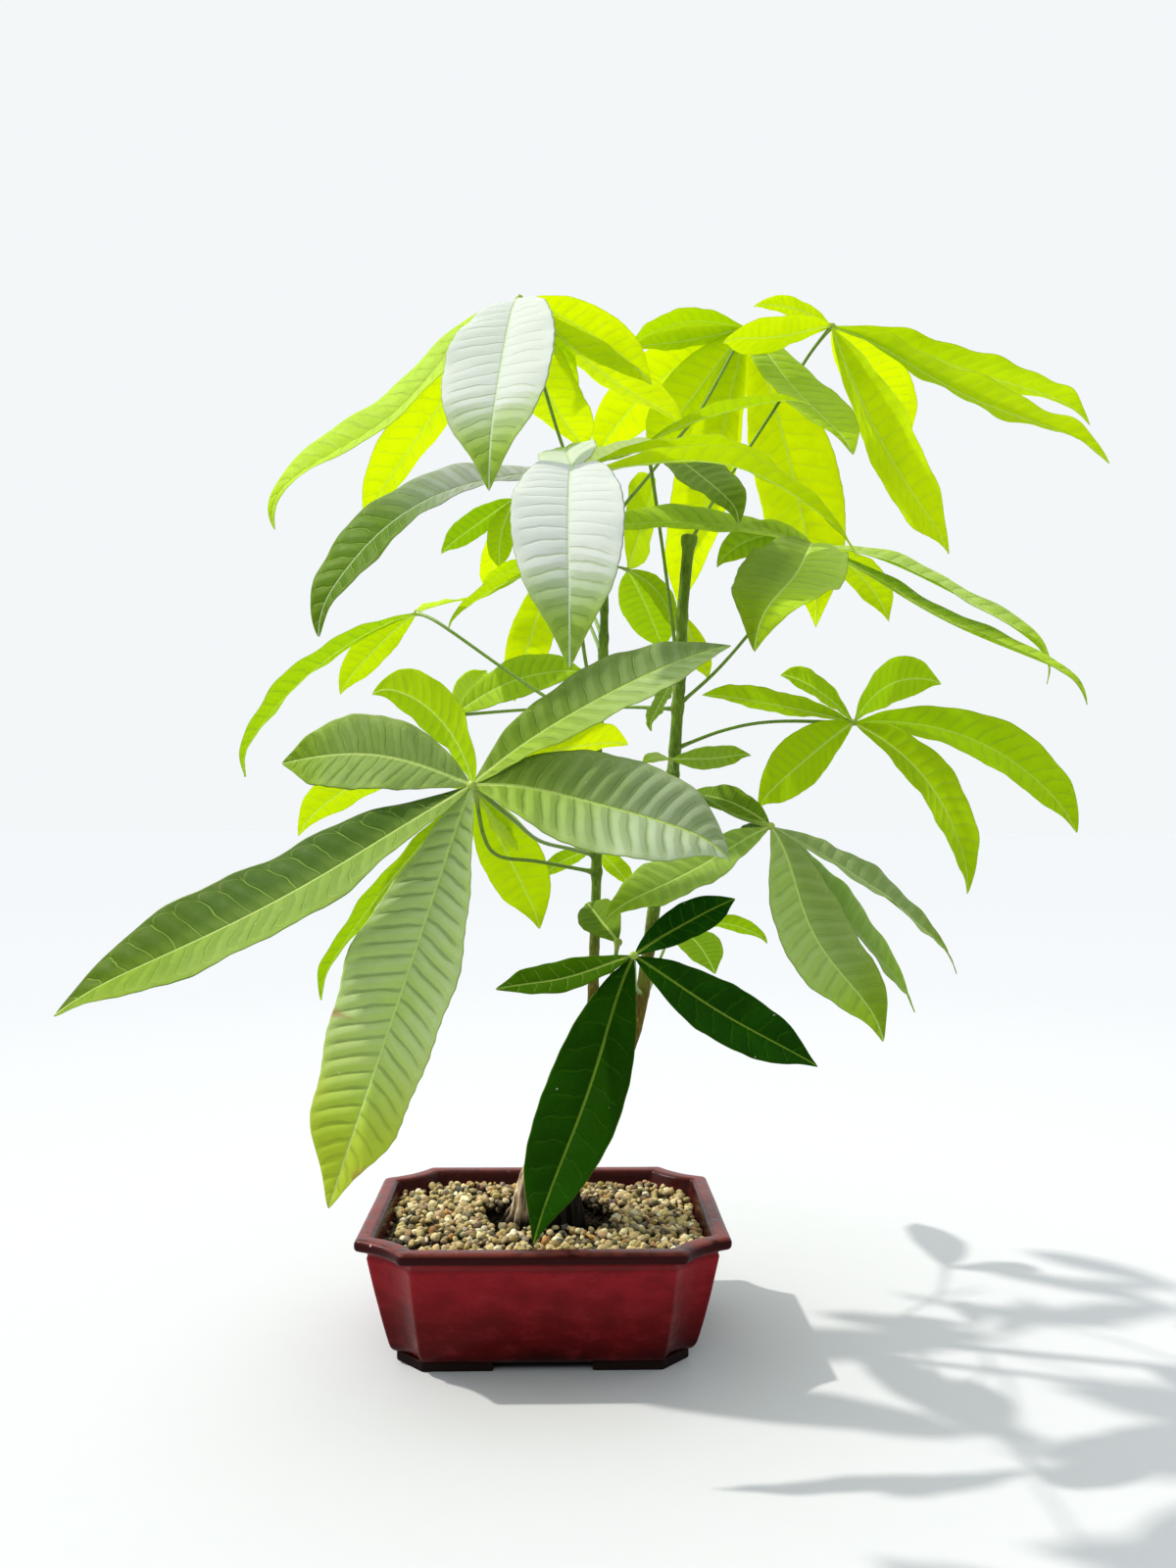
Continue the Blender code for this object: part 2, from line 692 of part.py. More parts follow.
def build_leaf(name, leaf, parts):
    hub = Vector(leaf["hub"]) * MM
    stem = STEMS[leaf["stem"]]
    path = smooth_path([Vector(p) * MM for p in leaf["stalk"]] + [hub], 2)
    radius = leaf.get("stalk_radius", PETIOLE_RADIUS / MM) * MM
    while len(path) > 2 and stem_distance(path[1], stem) < radius + 0.0005:
        path.pop(0)
    inner, outer = path[0], path[1]
    for _ in range(30):
        if stem_distance(inner, stem) >= radius + 0.0005:
            break
        inner = inner.lerp(outer, 0.1)
    path[0] = inner
    radii = [radius * (1.25 if i == 0 else 1.0) for i in range(len(path))]
    radii[0] = radius
    stalk = tube(name, path, radii, parts)
    bpy.ops.mesh.primitive_uv_sphere_add(
        segments=8, ring_count=5, radius=max(HUB_RADIUS, radius * 1.7), location=hub)
    knuckle = bpy.context.object
    pieces = [knuckle]
    for i, spec in enumerate(leaf["leaflets"]):
        pieces.append(leaflet("%s_leaflet_%d" % (name, i + 1), hub, spec, parts))
    # Thin blades that cross each other at the hub: the exact union drops some.
    return fill_pockets(fuse(stalk, pieces, "MANIFOLD"))


def build_all():
    clear_scene()
    parts = new_collection("potted_money_tree")
    cutters = new_collection("cutters")

    glaze = material("burgundy_glaze", (0.16, 0.014, 0.018), 0.22)
    net_plastic = material("screen_plastic", (0.02, 0.02, 0.02), 0.6)
    earth = material("potting_soil", (0.025, 0.016, 0.010), 0.95)
    stones = material("gravel_stone", (0.46, 0.36, 0.24), 0.75)
    bark = material("bark", (0.21, 0.15, 0.10), 0.85)
    stem_skin = material("green_stem", (0.12, 0.16, 0.03), 0.55)
    leaf_green = material("leaf_green", (0.10, 0.24, 0.02), 0.40)

    pieces = [(build_pot(parts, cutters), glaze)]
    pieces += [(net, net_plastic) for net in build_screens(parts)]
    pieces.append((build_soil(parts, cutters), earth))
    pieces.append((build_gravel(parts, cutters), stones))
    pieces.append((loft("root_base", trunk_rings(0.0), parts), bark))
    for name, spec in STEMS.items():
        path = [Vector(p[:3]) * MM for p in spec]
        pieces.append((tube(name, path, [p[3] * MM for p in spec], parts), stem_skin))
    for name, leaf in LEAVES.items():
        pieces.append((build_leaf(name, leaf, parts), leaf_green))

    place = bpy.data.objects.new("potted_money_tree_place", None)
    parts.objects.link(place)
    place.location = (POT_X, POT_Y, 0.0)
    for obj, mat in pieces:
        obj.data.materials.clear()
        obj.data.materials.append(mat)
        obj.parent = place
        if obj.name != "pot":
            obj.data.shade_smooth()
            obj.data.set_sharp_from_angle(angle=math.radians(40))
    for obj in list(cutters.objects):
        obj.parent = place
    bpy.context.view_layer.update()


build_all()
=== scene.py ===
# The looks of the potted money tree: every leaflet as a thin closed blade with
# its veins and folds, the grown trunk and stems as one skin, the glazed pot,
# and a bed of separate gravel stones. Metres, +Z up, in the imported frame.
import math

import bpy
import numpy as np
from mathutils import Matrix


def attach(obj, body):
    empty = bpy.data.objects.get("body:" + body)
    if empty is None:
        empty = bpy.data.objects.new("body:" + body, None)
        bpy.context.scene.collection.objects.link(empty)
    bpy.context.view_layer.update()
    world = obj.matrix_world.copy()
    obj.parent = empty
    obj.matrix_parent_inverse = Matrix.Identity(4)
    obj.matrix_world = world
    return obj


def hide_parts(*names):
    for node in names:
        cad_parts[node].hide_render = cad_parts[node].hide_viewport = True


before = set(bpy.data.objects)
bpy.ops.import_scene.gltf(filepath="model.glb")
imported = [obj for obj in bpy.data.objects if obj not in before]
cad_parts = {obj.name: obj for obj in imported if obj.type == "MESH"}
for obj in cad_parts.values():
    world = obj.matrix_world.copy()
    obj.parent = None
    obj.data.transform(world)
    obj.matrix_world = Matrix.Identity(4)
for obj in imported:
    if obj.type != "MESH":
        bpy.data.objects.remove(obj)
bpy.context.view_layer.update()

MM = 0.001

# ---- shared sizes, the same numbers that the CAD is built from -----------
POT_X = -0.085
POT_Y = 0.005
POT_HALF_X = 0.1000
POT_HALF_Y = 0.0752
POT_HEIGHT = 0.0671
BASE_HALF_X = 0.0815
BASE_HALF_Y = 0.0590
RIM_CUT_X = 0.0265
RIM_CUT_Y = 0.0215
BASE_CUT_X = 0.0180
BASE_CUT_Y = 0.0150
CORNER_BOW = 0.0030
RIM_OVERHANG = 0.0045
WALL = 0.0062
FLOOR_Z = 0.0095
UNDERSIDE_Z = 0.0040
FOOT_HEIGHT = 0.0052
FOOT_PLAN = [(26, 56), (63, 56), (78, 42), (78, 20), (68, 20), (68, 38), (58, 46), (26, 46)]
DRAIN_RADIUS = 0.0070
DRAIN_X = 0.0350
SOIL_TOP_Z = 0.0535
GRAVEL_TOP_Z = 0.0608
GRAVEL_HOLE = (0.0020, 0.0020, 0.0360, 0.0345)
PETIOLE_RADIUS = 0.0012

# ---- root base and stems ------------------------------------------------
# Each ring: centre x, centre y, height, radius, all in mm.
TRUNK_RINGS = [
    (1, 0, 34, 15.0),
    (0, 0, 46, 18.5),
    (0, 0, 58, 18.5),
    (0, 0, 66, 18.0),
    (1, 0, 76, 17.5),
    (4, 0, 87, 17.0),
    (10, 1, 99, 17.0),
    (18, 2, 112, 16.5),
    (26, 4, 124, 14.8),
    (30, 5, 130, 13.5),
]
ROOT_LOBES = 0.10         # how strongly the base swells into root ridges

# Each point: x, y, height, radius, all in mm.
STEMS = {
    "stem_left": [
        (22, 1, 130.3, 4.6), (22, 1, 133, 4.5), (24, 0, 145, 4.0), (27, 0, 180, 3.3), (28, 0, 215, 3.0),
        (29, 0, 252, 2.9), (29, 0, 290, 2.9), (29, 0, 315, 2.8), (30, 0, 344, 2.8),
        (32, 0, 375, 2.7), (33, 0, 401, 2.6), (33, 0, 430, 2.5), (33, 0, 452, 2.4),
    ],
    "stem_right": [
        (37, 8, 130.3, 5.2), (37, 8, 133, 5.1), (43, 10, 143, 4.8), (54, 15, 171, 4.3), (60, 15, 207, 3.9),
        (64, 15, 237, 3.8), (70, 15, 277, 3.7), (75, 15, 316, 3.6), (78, 15, 357, 3.5),
        (80, 15, 390, 3.4), (81, 15, 416, 3.4), (84, 15, 450, 3.6), (85, 15, 460, 4.2),
    ],
}

# ---- leaves -------------------------------------------------------------
# A leaf is a stalk from its stem to a hub, and leaflets fanned round the hub.
# "stalk" lists the points the stalk passes through, x, y, height in mm, from
# the stem to just before the hub. Each leaflet is:
#   heading   compass direction it sets out in, degrees from +X towards +Y
#   rise      how steeply it climbs at the hub, degrees
#   droop     how far it bends down by its tip, degrees
#   sweep     how far it turns sideways by its tip, degrees
#   wave      how strongly it first lifts and then dips along its length, degrees
#   length    hub to tip, mm
#   width     at the widest, mm
#   roll      tilt of the blade about its midrib, degrees
LEAVES = {
    "leaf_front_left": {
        "stem": "stem_left", "hub": (-31, -166, 302),
        "stalk": [(27, 0, 268), (14, -37, 272), (-3, -74, 277), (-15, -130, 288)],
        "leaflets": [
            (166, 23, 33, -8, 3, 96, 38, -65),
            (-167, -30, -3, 0, -3, 190, 57, -30),
            (-152, -69, 3, -1, -1, 182, 55, -35),
            (-13, 5, 39, -3, -6, 118, 48, 60),
            (13, 43, 28, 1, -2, 139, 42, 35),
            (44, 24, 20, -2, 1, 102, 33, -35),
        ],
    },
    "leaf_lower_left_back": {
        "stem": "stem_left", "hub": (-38, -51, 303),
        "stalk": [(28, 0, 258), (14, -10, 261), (-6, -24, 265), (-25, -40, 268), (-33, -48, 278)],
        "leaflets": [
            (62, -41, 12, -2, -2, 106, 35, -30),
            (167, -41, 19, 0, 0, 146, 26, 5),
            (165, 16, 54, -14, 7, 123, 34, 25),
            (52, -42, 1, -6, -8, 47, 16, 65),
            (138, 74, 75, 6, -2, 109, 36, 70),
        ],
    },
    "sprout_left_low": {
        "stem": "stem_left", "hub": (30, 56, 270),
        "stalk": [(29, 2, 258), (30, 26, 263)],
        "leaflets": [
            (166, -12, 31, 0, 1, 40, 14, 50),
            (51, -20, 26, -1, -2, 45, 15, -25),
        ],
    },
    "leaf_top_front": {
        "stem": "stem_left", "hub": (14, -100, 462),
        "stalk": [(30, 0, 341), (25, -10, 363), (19, -40, 392), (17, -70, 427)],
        "leaflets": [
            (-94, -7, 72, 6, -4, 179, 48, 0),
            (96, 34, 14, -4, -4, 79, 32, -15),
            (-176, -4, 59, 11, 5, 165, 45, -35),
            (18, 29, 45, 11, -1, 132, 32, 5),
            (-6, 0, 32, -4, 13, 156, 41, 5),
            (42, 29, 17, 1, 2, 95, 28, 20),
        ],
    },
    "leaf_crown_small": {
        "stem": "stem_right", "hub": (57, -5, 509),
        "stalk": [(78, 15, 375), (74, 8, 405), (67, 3, 453), (61, 0, 492)],
        "leaflets": [
            (-32, 21, 35, -1, -3, 103, 28, 10),
            (-42, -21, 39, -1, -6, 90, 30, 35),
            (-132, -17, 17, 0, -4, 37, 12, -30),
        ],
    },
    "leaf_top_left": {
        "stem": "stem_left", "hub": (-17, -20, 587),
        "stalk": [(33, 0, 448), (23, 4, 473), (8, 3, 510), (-5, -9, 548)],
        "leaflets": [
            (-95, -26, 48, 1, -7, 193, 58, 10),
            (-177, -21, 43, 2, -20, 201, 52, -35),
            (152, -37, 20, 0, -4, 165, 49, -5),
            (22, -9, 27, 0, 0, 94, 32, -25),
            (67, -6, 42, 1, 6, 93, 28, 20),
            (41, -22, -10, -6, -3, 142, 47, 10),
            (76, -29, -8, -15, -10, 127, 42, 5),
        ],
    },
    "leaf_top_centre": {
        "stem": "stem_left", "hub": (133, 91, 622),
        "stalk": [(34, 0, 446), (42, 13, 472), (60, 26, 498), (79, 41, 526), (98, 56, 554), (124, 77, 605)],
        "leaflets": [
            (176, 12, 40, 0, 7, 86, 26, 10),
            (175, -11, -5, 2, -2, 80, 24, 10),
            (142, -37, 13, 2, -2, 109, 44, 45),
            (132, -69, 4, 1, -3, 194, 59, 0),
            (38, -53, 32, 1, -3, 211, 63, -15),
            (151, -10, 44, -1, 0, 143, 47, 30),
            (-64, -48, -3, -2, -3, 161, 48, 5),
        ],
    },
    "leaf_top_right": {
        "stem": "stem_right", "hub": (184, 64, 612),
        "stalk": [(85, 15, 455), (101, 33, 485), (127, 54, 526), (154, 68, 569), (171, 68, 596)],
        "leaflets": [
            (-153, -17, 2, 2, -5, 93, 30, 30),
            (156, 39, 29, 0, 2, 58, 16, 25),
            (45, -13, 24, -1, 1, 116, 42, -10),
            (-49, -70, -15, 2, -1, 184, 55, -55),
            (6, -1, 29, 1, -9, 192, 50, 10),
            (-10, -20, 18, -1, -10, 198, 54, 5),
        ],
    },
    "leaf_right_upper": {
        "stem": "stem_right", "hub": (153, -20, 445),
        "stalk": [(78, 15, 357), (100, 8, 377), (119, 0, 399), (137, -12, 422)],
        "leaflets": [
            (-106, -1, 54, -17, -13, 170, 51, -15),
            (179, 22, 66, 2, 7, 64, 21, -75),
            (-175, 16, 27, 0, 1, 132, 40, -35),
            (-8, 0, 59, -1, -8, 161, 39, 25),
            (-25, -27, 8, 3, -7, 174, 42, 15),
            (38, -5, 35, 6, 3, 85, 26, -5),
        ],
    },
    "leaf_right_middle": {
        "stem": "stem_right", "hub": (188, 30, 349),
        "stalk": [(76, 15, 331), (107, 20, 343), (139, 27, 349)],
        "leaflets": [
            (-14, 5, 64, 2, 1, 154, 51, -25),
            (-42, -27, 55, 1, 2, 131, 43, -50),
            (41, 47, 54, -12, 2, 97, 32, -70),
            (118, 44, 30, 2, -1, 79, 24, 55),
            (161, 18, 11, 0, -1, 97, 29, 25),
            (-149, -26, 16, -1, -2, 94, 34, 90),
        ],
    },
    "leaf_right_lower": {
        "stem": "stem_right", "hub": (123, -41, 285),
        "stalk": [(75, 15, 314), (90, -10, 302), (105, -31, 291)],
        "leaflets": [
            (-43, -49, 19, 5, -18, 129, 43, 35),
            (15, -25, 17, 0, 1, 147, 44, 30),
            (36, -39, 3, -2, -1, 169, 50, 50),
            (-154, -21, 6, -3, -4, 112, 34, -30),
            (129, 31, 31, 0, 1, 71, 23, -30),
            (110, -9, 7, 2, -7, 58, 19, -60),
        ],
    },
    "leaf_low_front": {
        "stem": "stem_right", "hub": (44, -100, 221),
        "stalk": [(56, 15, 186), (50, -30, 196), (46, -75, 212)],
        "leaflets": [
            (-163, -12, -2, -1, -6, 71, 21, -35),
            (20, 33, 16, 1, -2, 63, 21, 45),
            (-13, -30, -1, 1, -3, 102, 34, 45),
            (-139, -56, 15, -2, -7, 140, 39, -35),
        ],
    },
    "sprout_low_oval": {
        "stem": "stem_left", "hub": (38, -65, 224),
        "stalk": [(27, 0, 172), (33, -30, 190), (37, -52, 212)],
        "leaflets": [
            (107, 24, 14, -3, -4, 58, 23, -30),
        ],
    },
    "leaf_low_back_right": {
        "stem": "stem_right", "hub": (88, 127, 214),
        "stalk": [(52, 15, 165), (64, 51, 183), (76, 82, 204)],
        "leaflets": [
            (0, 13, 40, 1, 5, 69, 20, -35),
            (63, -13, 25, -1, 3, 94, 31, -15),
        ],
    },
    "leaf_left_middle": {
        "stem": "stem_left", "hub": (-86, 75, 423),
        "stalk": [(30, 0, 342), (1, 11, 360), (-29, 30, 382), (-69, 50, 412)],
        "leaflets": [
            (-168, -18, 51, 0, -2, 160, 41, 10),
            (157, -29, 23, 1, -1, 78, 25, 30),
            (65, 25, 15, 0, -2, 67, 22, 0),
        ],
    },
    "leaf_left_centre_small": {
        "stem": "stem_right", "hub": (-65, 114, 360),
        "stalk": [(78, 15, 355), (51, 34, 358), (25, 61, 360), (-16, 84, 361)],
        "leaflets": [
            (151, 49, 28, 0, -1, 31, 12, 95),
            (50, 62, 31, 0, 0, 48, 19, 45),
            (-23, 33, 35, 1, 2, 102, 34, 65),
        ],
    },
    "leaf_left_upper_small": {
        "stem": "stem_left", "hub": (-25, 164, 525),
        "stalk": [(32, 0, 395), (25, 47, 423), (1, 105, 473)],
        "leaflets": [
            (180, -28, 17, 0, -3, 69, 22, 45),
            (179, -59, 37, 0, 2, 55, 20, 80),
            (116, -35, 23, 2, -2, 82, 25, -15),
        ],
    },
    "leaf_left_back_small": {
        "stem": "stem_left", "hub": (4, 121, 466),
        "stalk": [(32, 0, 385), (21, 57, 424)],
        "leaflets": [
            (180, 3, 41, 0, 4, 57, 18, 15),
            (-164, -15, 33, 2, -1, 92, 25, 15),
            (124, -46, 25, 0, -6, 106, 32, 25),
        ],
    },
    "leaf_centre_back": {
        "stem": "stem_left", "hub": (48, 20, 440),
        "stalk": [(33, 0, 425), (40, 8, 438)],
        "leaflets": [
            (69, -14, 25, -2, -2, 85, 34, -10),
            (26, -21, 50, 1, 6, 52, 17, 80),
            (70, 52, 10, 4, -5, 108, 43, -100),
        ],
    },
    "sprout_right_leaflet": {
        "stem": "stem_right", "hub": (71, -10, 323),
        "stalk": [(75, 15, 316), (73, 0, 320)],
        "leaflets": [
            (-25, 5, 5, 0, -6, 48, 16, 60),
            (-150, 12, 37, 0, 3, 20, 8, -45),
        ],
    },
    "sprout_right_curled": {
        "stem": "stem_right", "hub": (74, -10, 371),
        "stalk": [(78, 15, 367), (76, 3, 370)],
        "leaflets": [
            (-131, -42, 17, -1, -4, 42, 13, 5),
        ],
    },
    "leaf_back_small": {
        "stem": "stem_right", "hub": (84, 40, 416),
        "stalk": [(81, 15, 410), (82, 28, 416)],
        "leaflets": [
            (31, -58, 8, -1, -7, 43, 15, -45),
        ],
    },
}

# How each leaflet looks, in the same order as above:
#   glow    0 a deep green blade, 1 a thin young one that lets the light through; partly painted light: how brightly each leaflet is lit from behind is painted into its colour
#   bloom   painted sheen: a pale highlight painted on the upper face
#   pucker  how far the blade domes between its side veins, mm
#   ripple  how far its margin waves up and down, mm
#   hook    how far the drawn-out tip bends down, degrees
LOOKS = {
    "leaf_front_left": [(.27, .14, .8, .8, 0), (.25, .08, .9, 1.2, 10), (.50, .42, 1.35, 2.2, 0),
                        (.34, -.60, .9, 1.0, 15), (.36, -.34, .8, .8, 0), (1.0, 0, .4, .6, 10)],
    "leaf_lower_left_back": [(.74, 0, .4, .8, 15), (.56, .1, .4, .8, 30), (.85, .15, .4, .8, 20),
                             (.95, .1, .4, .8, 15), (.66, 0, .4, .8, 20)],
    "sprout_left_low": [(.60, 0, .2, .3, 10), (.65, 0, .2, .3, 10)],
    "leaf_top_front": [(.32, 1.8, .35, .8, 10), (.60, 1.6, .4, .6, 10), (.19, 1.0, .5, .8, 25),
                       (.80, .75, .4, .8, 20), (.80, .35, .5, .8, 30), (.95, .55, .4, .6, 20)],
    "leaf_crown_small": [(.75, .10, .4, .5, 20), (.25, .10, .6, .8, 30), (.65, .10, .2, .3, 10)],
    "leaf_top_left": [(.36, 1.5, .35, .8, 20), (.62, .05, .5, .9, 40), (.95, 0, .4, .8, 15), (1.0, 0, .3, .5, 10),
                      (1.0, 0, .3, .5, 15), (1.0, 0, .4, .8, 20), (1.0, 0, .4, .8, 20)],
    "leaf_top_centre": [(.74, 0, .3, .5, 15), (1.0, 0, .3, .5, 10), (1.0, 0, .4, .8, 10), (1.0, 0, .4, .8, 10),
                        (1.0, 0, .4, .8, 10), (1.0, 0, .4, .8, 20), (.50, .05, .5, .8, 15)],
    "leaf_top_right": [(.90, 0, .3, .5, 15), (.95, 0, .3, .5, 15), (1.0, 0, .4, .7, 15), (.95, 0, .4, .8, 15),
                       (.80, .10, .7, 1.6, 20), (.80, .10, .7, 1.8, 15)],
    "leaf_right_upper": [(.52, .13, .7, 1.6, 20), (.55, .05, .3, .5, 20), (.55, .08, .4, .6, 10), (.55, .20, .5, .8, 45),
                         (.50, .06, .5, .8, 40), (.85, 0, .3, .5, 20)],
    "leaf_right_middle": [(.60, 0, .4, .6, 10), (.66, 0, .4, .6, 15), (.58, 0, .4, .6, 10), (.61, 0, .3, .5, 10),
                          (.62, 0, .3, .5, 10), (.62, 0, .4, .6, 10)],
    "leaf_right_lower": [(.42, .24, .6, 1.2, 10), (.38, .30, .5, .8, 30), (.36, .18, .5, .8, 20), (.35, .12, .6, .9, 15),
                         (.21, 0, .3, .5, 10), (.15, 0, .3, .5, 10)],
    "leaf_low_front": [(.12, 0, .3, .5, 0), (.0, 0, .3, .4, 0), (.01, 0, .4, .6, 0), (.02, 0, .35, .6, 0)],
    "sprout_low_oval": [(.20, 0, .3, .4, 0)],
    "leaf_low_back_right": [(.52, 0, .2, .4, 30), (.34, 0, .3, .5, 10)],
    "leaf_left_middle": [(.60, .10, .5, .8, 30), (.80, 0, .3, .5, 15), (.80, 0, .3, .5, 10)],
    "leaf_left_centre_small": [(.65, 0, .2, .3, 0), (.70, .1, .2, .3, 0), (.45, 0, .4, .6, 10)],
    "leaf_left_upper_small": [(.50, 0, .2, .4, 10), (.66, 0, .2, .4, 10), (.95, 0, .2, .4, 10)],
    "leaf_left_back_small": [(.80, 0, .2, .4, 20), (.75, .10, .3, .5, 25), (.90, 0, .3, .5, 15)],
    "leaf_centre_back": [(.60, 0, .3, .5, 10), (.64, 0, .2, .4, 10), (.85, 0, .4, .6, 10)],
    "sprout_right_leaflet": [(.42, .05, .3, .4, 10), (.60, .40, .2, .2, 10)],
    "sprout_right_curled": [(.36, .08, .4, .8, 60)],
    "leaf_back_small": [(.95, 0, .2, .3, 10)],
}
VEIN_PAIRS = {("leaf_front_left", 2): 1.45, "leaf_low_front": 0.75, "sprout_low_oval": 0.75, "leaf_top_front": 1.1}
YELLOWING = {("leaf_front_left", 2): 0.75, ("leaf_front_left", 1): 0.12}
# per leaflet: painted shade on each of the two halves beside the midrib, and how deep the painted shade in the blade's
# creases is
PAINTED_SHADES = {("leaf_front_left", 0): (0.10, 0.0, 0.1), ("leaf_front_left", 1): (0.80, 0.10, 0.0), ("leaf_front_left", 2): (0.0, 0.0, 0.9),
         ("leaf_front_left", 3): (0.0, 0.45, 0.2), ("leaf_front_left", 4): (0.0, 0.50, 0.2),
         ("leaf_top_front", 2): (0.10, 0.25, -1.0), ("leaf_right_upper", 0): (0.50, 0.0, 0.1), ("leaf_right_lower", 0): (0.0, 0.35, 0.1), ("leaf_right_lower", 1): (0.0, 0.20, 0.1)}
BRIGHT = {"leaf_lower_left_back", "leaf_top_left", "leaf_top_centre", "leaf_top_right", "leaf_right_middle",
          "leaf_low_back_right", "leaf_left_middle", "leaf_left_upper_small", "leaf_left_back_small",
          "leaf_centre_back", "leaf_back_small"}

OFFSET = np.array([POT_X, POT_Y, 0.0])


# ---- node helpers ---------------------------------------------------------
class Graph:
    """A short way to write a material's nodes."""

    def __init__(self, name):
        self.mat = bpy.data.materials.new(name)
        self.mat.use_nodes = True
        self.tree = self.mat.node_tree
        self.tree.nodes.clear()
        self.out = self.tree.nodes.new("ShaderNodeOutputMaterial")

    def node(self, kind, values=None, **settings):
        made = self.tree.nodes.new(kind)
        for key, value in settings.items():
            setattr(made, key, value)
        for key, value in (values or {}).items():
            self.put(made.inputs[key], value)
        return made

    def put(self, socket, value):
        if isinstance(value, bpy.types.NodeSocket):
            self.tree.links.new(value, socket)
        else:
            socket.default_value = value

    def math(self, operation, a, b=0.0, c=0.0, clamp=False):
        made = self.tree.nodes.new("ShaderNodeMath")
        made.operation = operation
        made.use_clamp = clamp
        for socket, value in zip(made.inputs, (a, b, c)):
            self.put(socket, value)
        return made.outputs[0]

    def step(self, value, start, end, low=0.0, high=1.0):
        """Smooth step from low to high as value goes from start to end."""
        made = self.node("ShaderNodeMapRange", interpolation_type="SMOOTHSTEP")
        for key, v in (("Value", value), ("From Min", start), ("From Max", end), ("To Min", low), ("To Max", high)):
            self.put(made.inputs[key], v)
        return made.outputs[0]

    def mix(self, factor, a, b, blend="MIX"):
        made = self.node("ShaderNodeMix", data_type="RGBA", blend_type=blend)
        made.clamp_factor = True
        self.put(made.inputs[0], factor)
        for socket, value in ((made.inputs[6], a), (made.inputs[7], b)):
            if isinstance(value, tuple):
                value = (*value, 1.0) if len(value) == 3 else value
            self.put(socket, value)
        return made.outputs[2]

    def ramp(self, factor, stops):
        made = self.node("ShaderNodeValToRGB")
        elements = made.color_ramp.elements
        while len(elements) < len(stops):
            elements.new(0.5)
        for element, (place, colour) in zip(elements, stops):
            element.position = place
            element.color = (*colour, 1.0)
        self.put(made.inputs[0], factor)
        return made.outputs[0]

    def noise(self, vector, scale, detail=2.0, rough=0.5, distort=0.0):
        made = self.node("ShaderNodeTexNoise", {"Scale": scale, "Detail": detail, "Roughness": rough,
                                                "Distortion": distort})
        if vector is not None:
            self.put(made.inputs["Vector"], vector)
        return made.outputs["Fac"]

    def attribute(self, name):
        return self.node("ShaderNodeAttribute", attribute_name=name, attribute_type="GEOMETRY")

    def split(self, vector):
        made = self.node("ShaderNodeSeparateXYZ", {0: vector})
        return made.outputs

    def place(self):
        return self.node("ShaderNodeTexCoord").outputs["Object"]

    def stretch(self, vector, scale):
        return self.node("ShaderNodeMapping", {"Vector": vector, "Scale": scale}).outputs[0]

    def bump(self, height, distance=0.001, strength=1.0, normal=None):
        made = self.node("ShaderNodeBump", {"Strength": strength, "Distance": distance, "Height": height})
        if normal is not None:
            self.put(made.inputs["Normal"], normal)
        return made.outputs[0]

    def finish(self, shader):
        self.tree.links.new(shader, self.out.inputs["Surface"])
        return self.mat


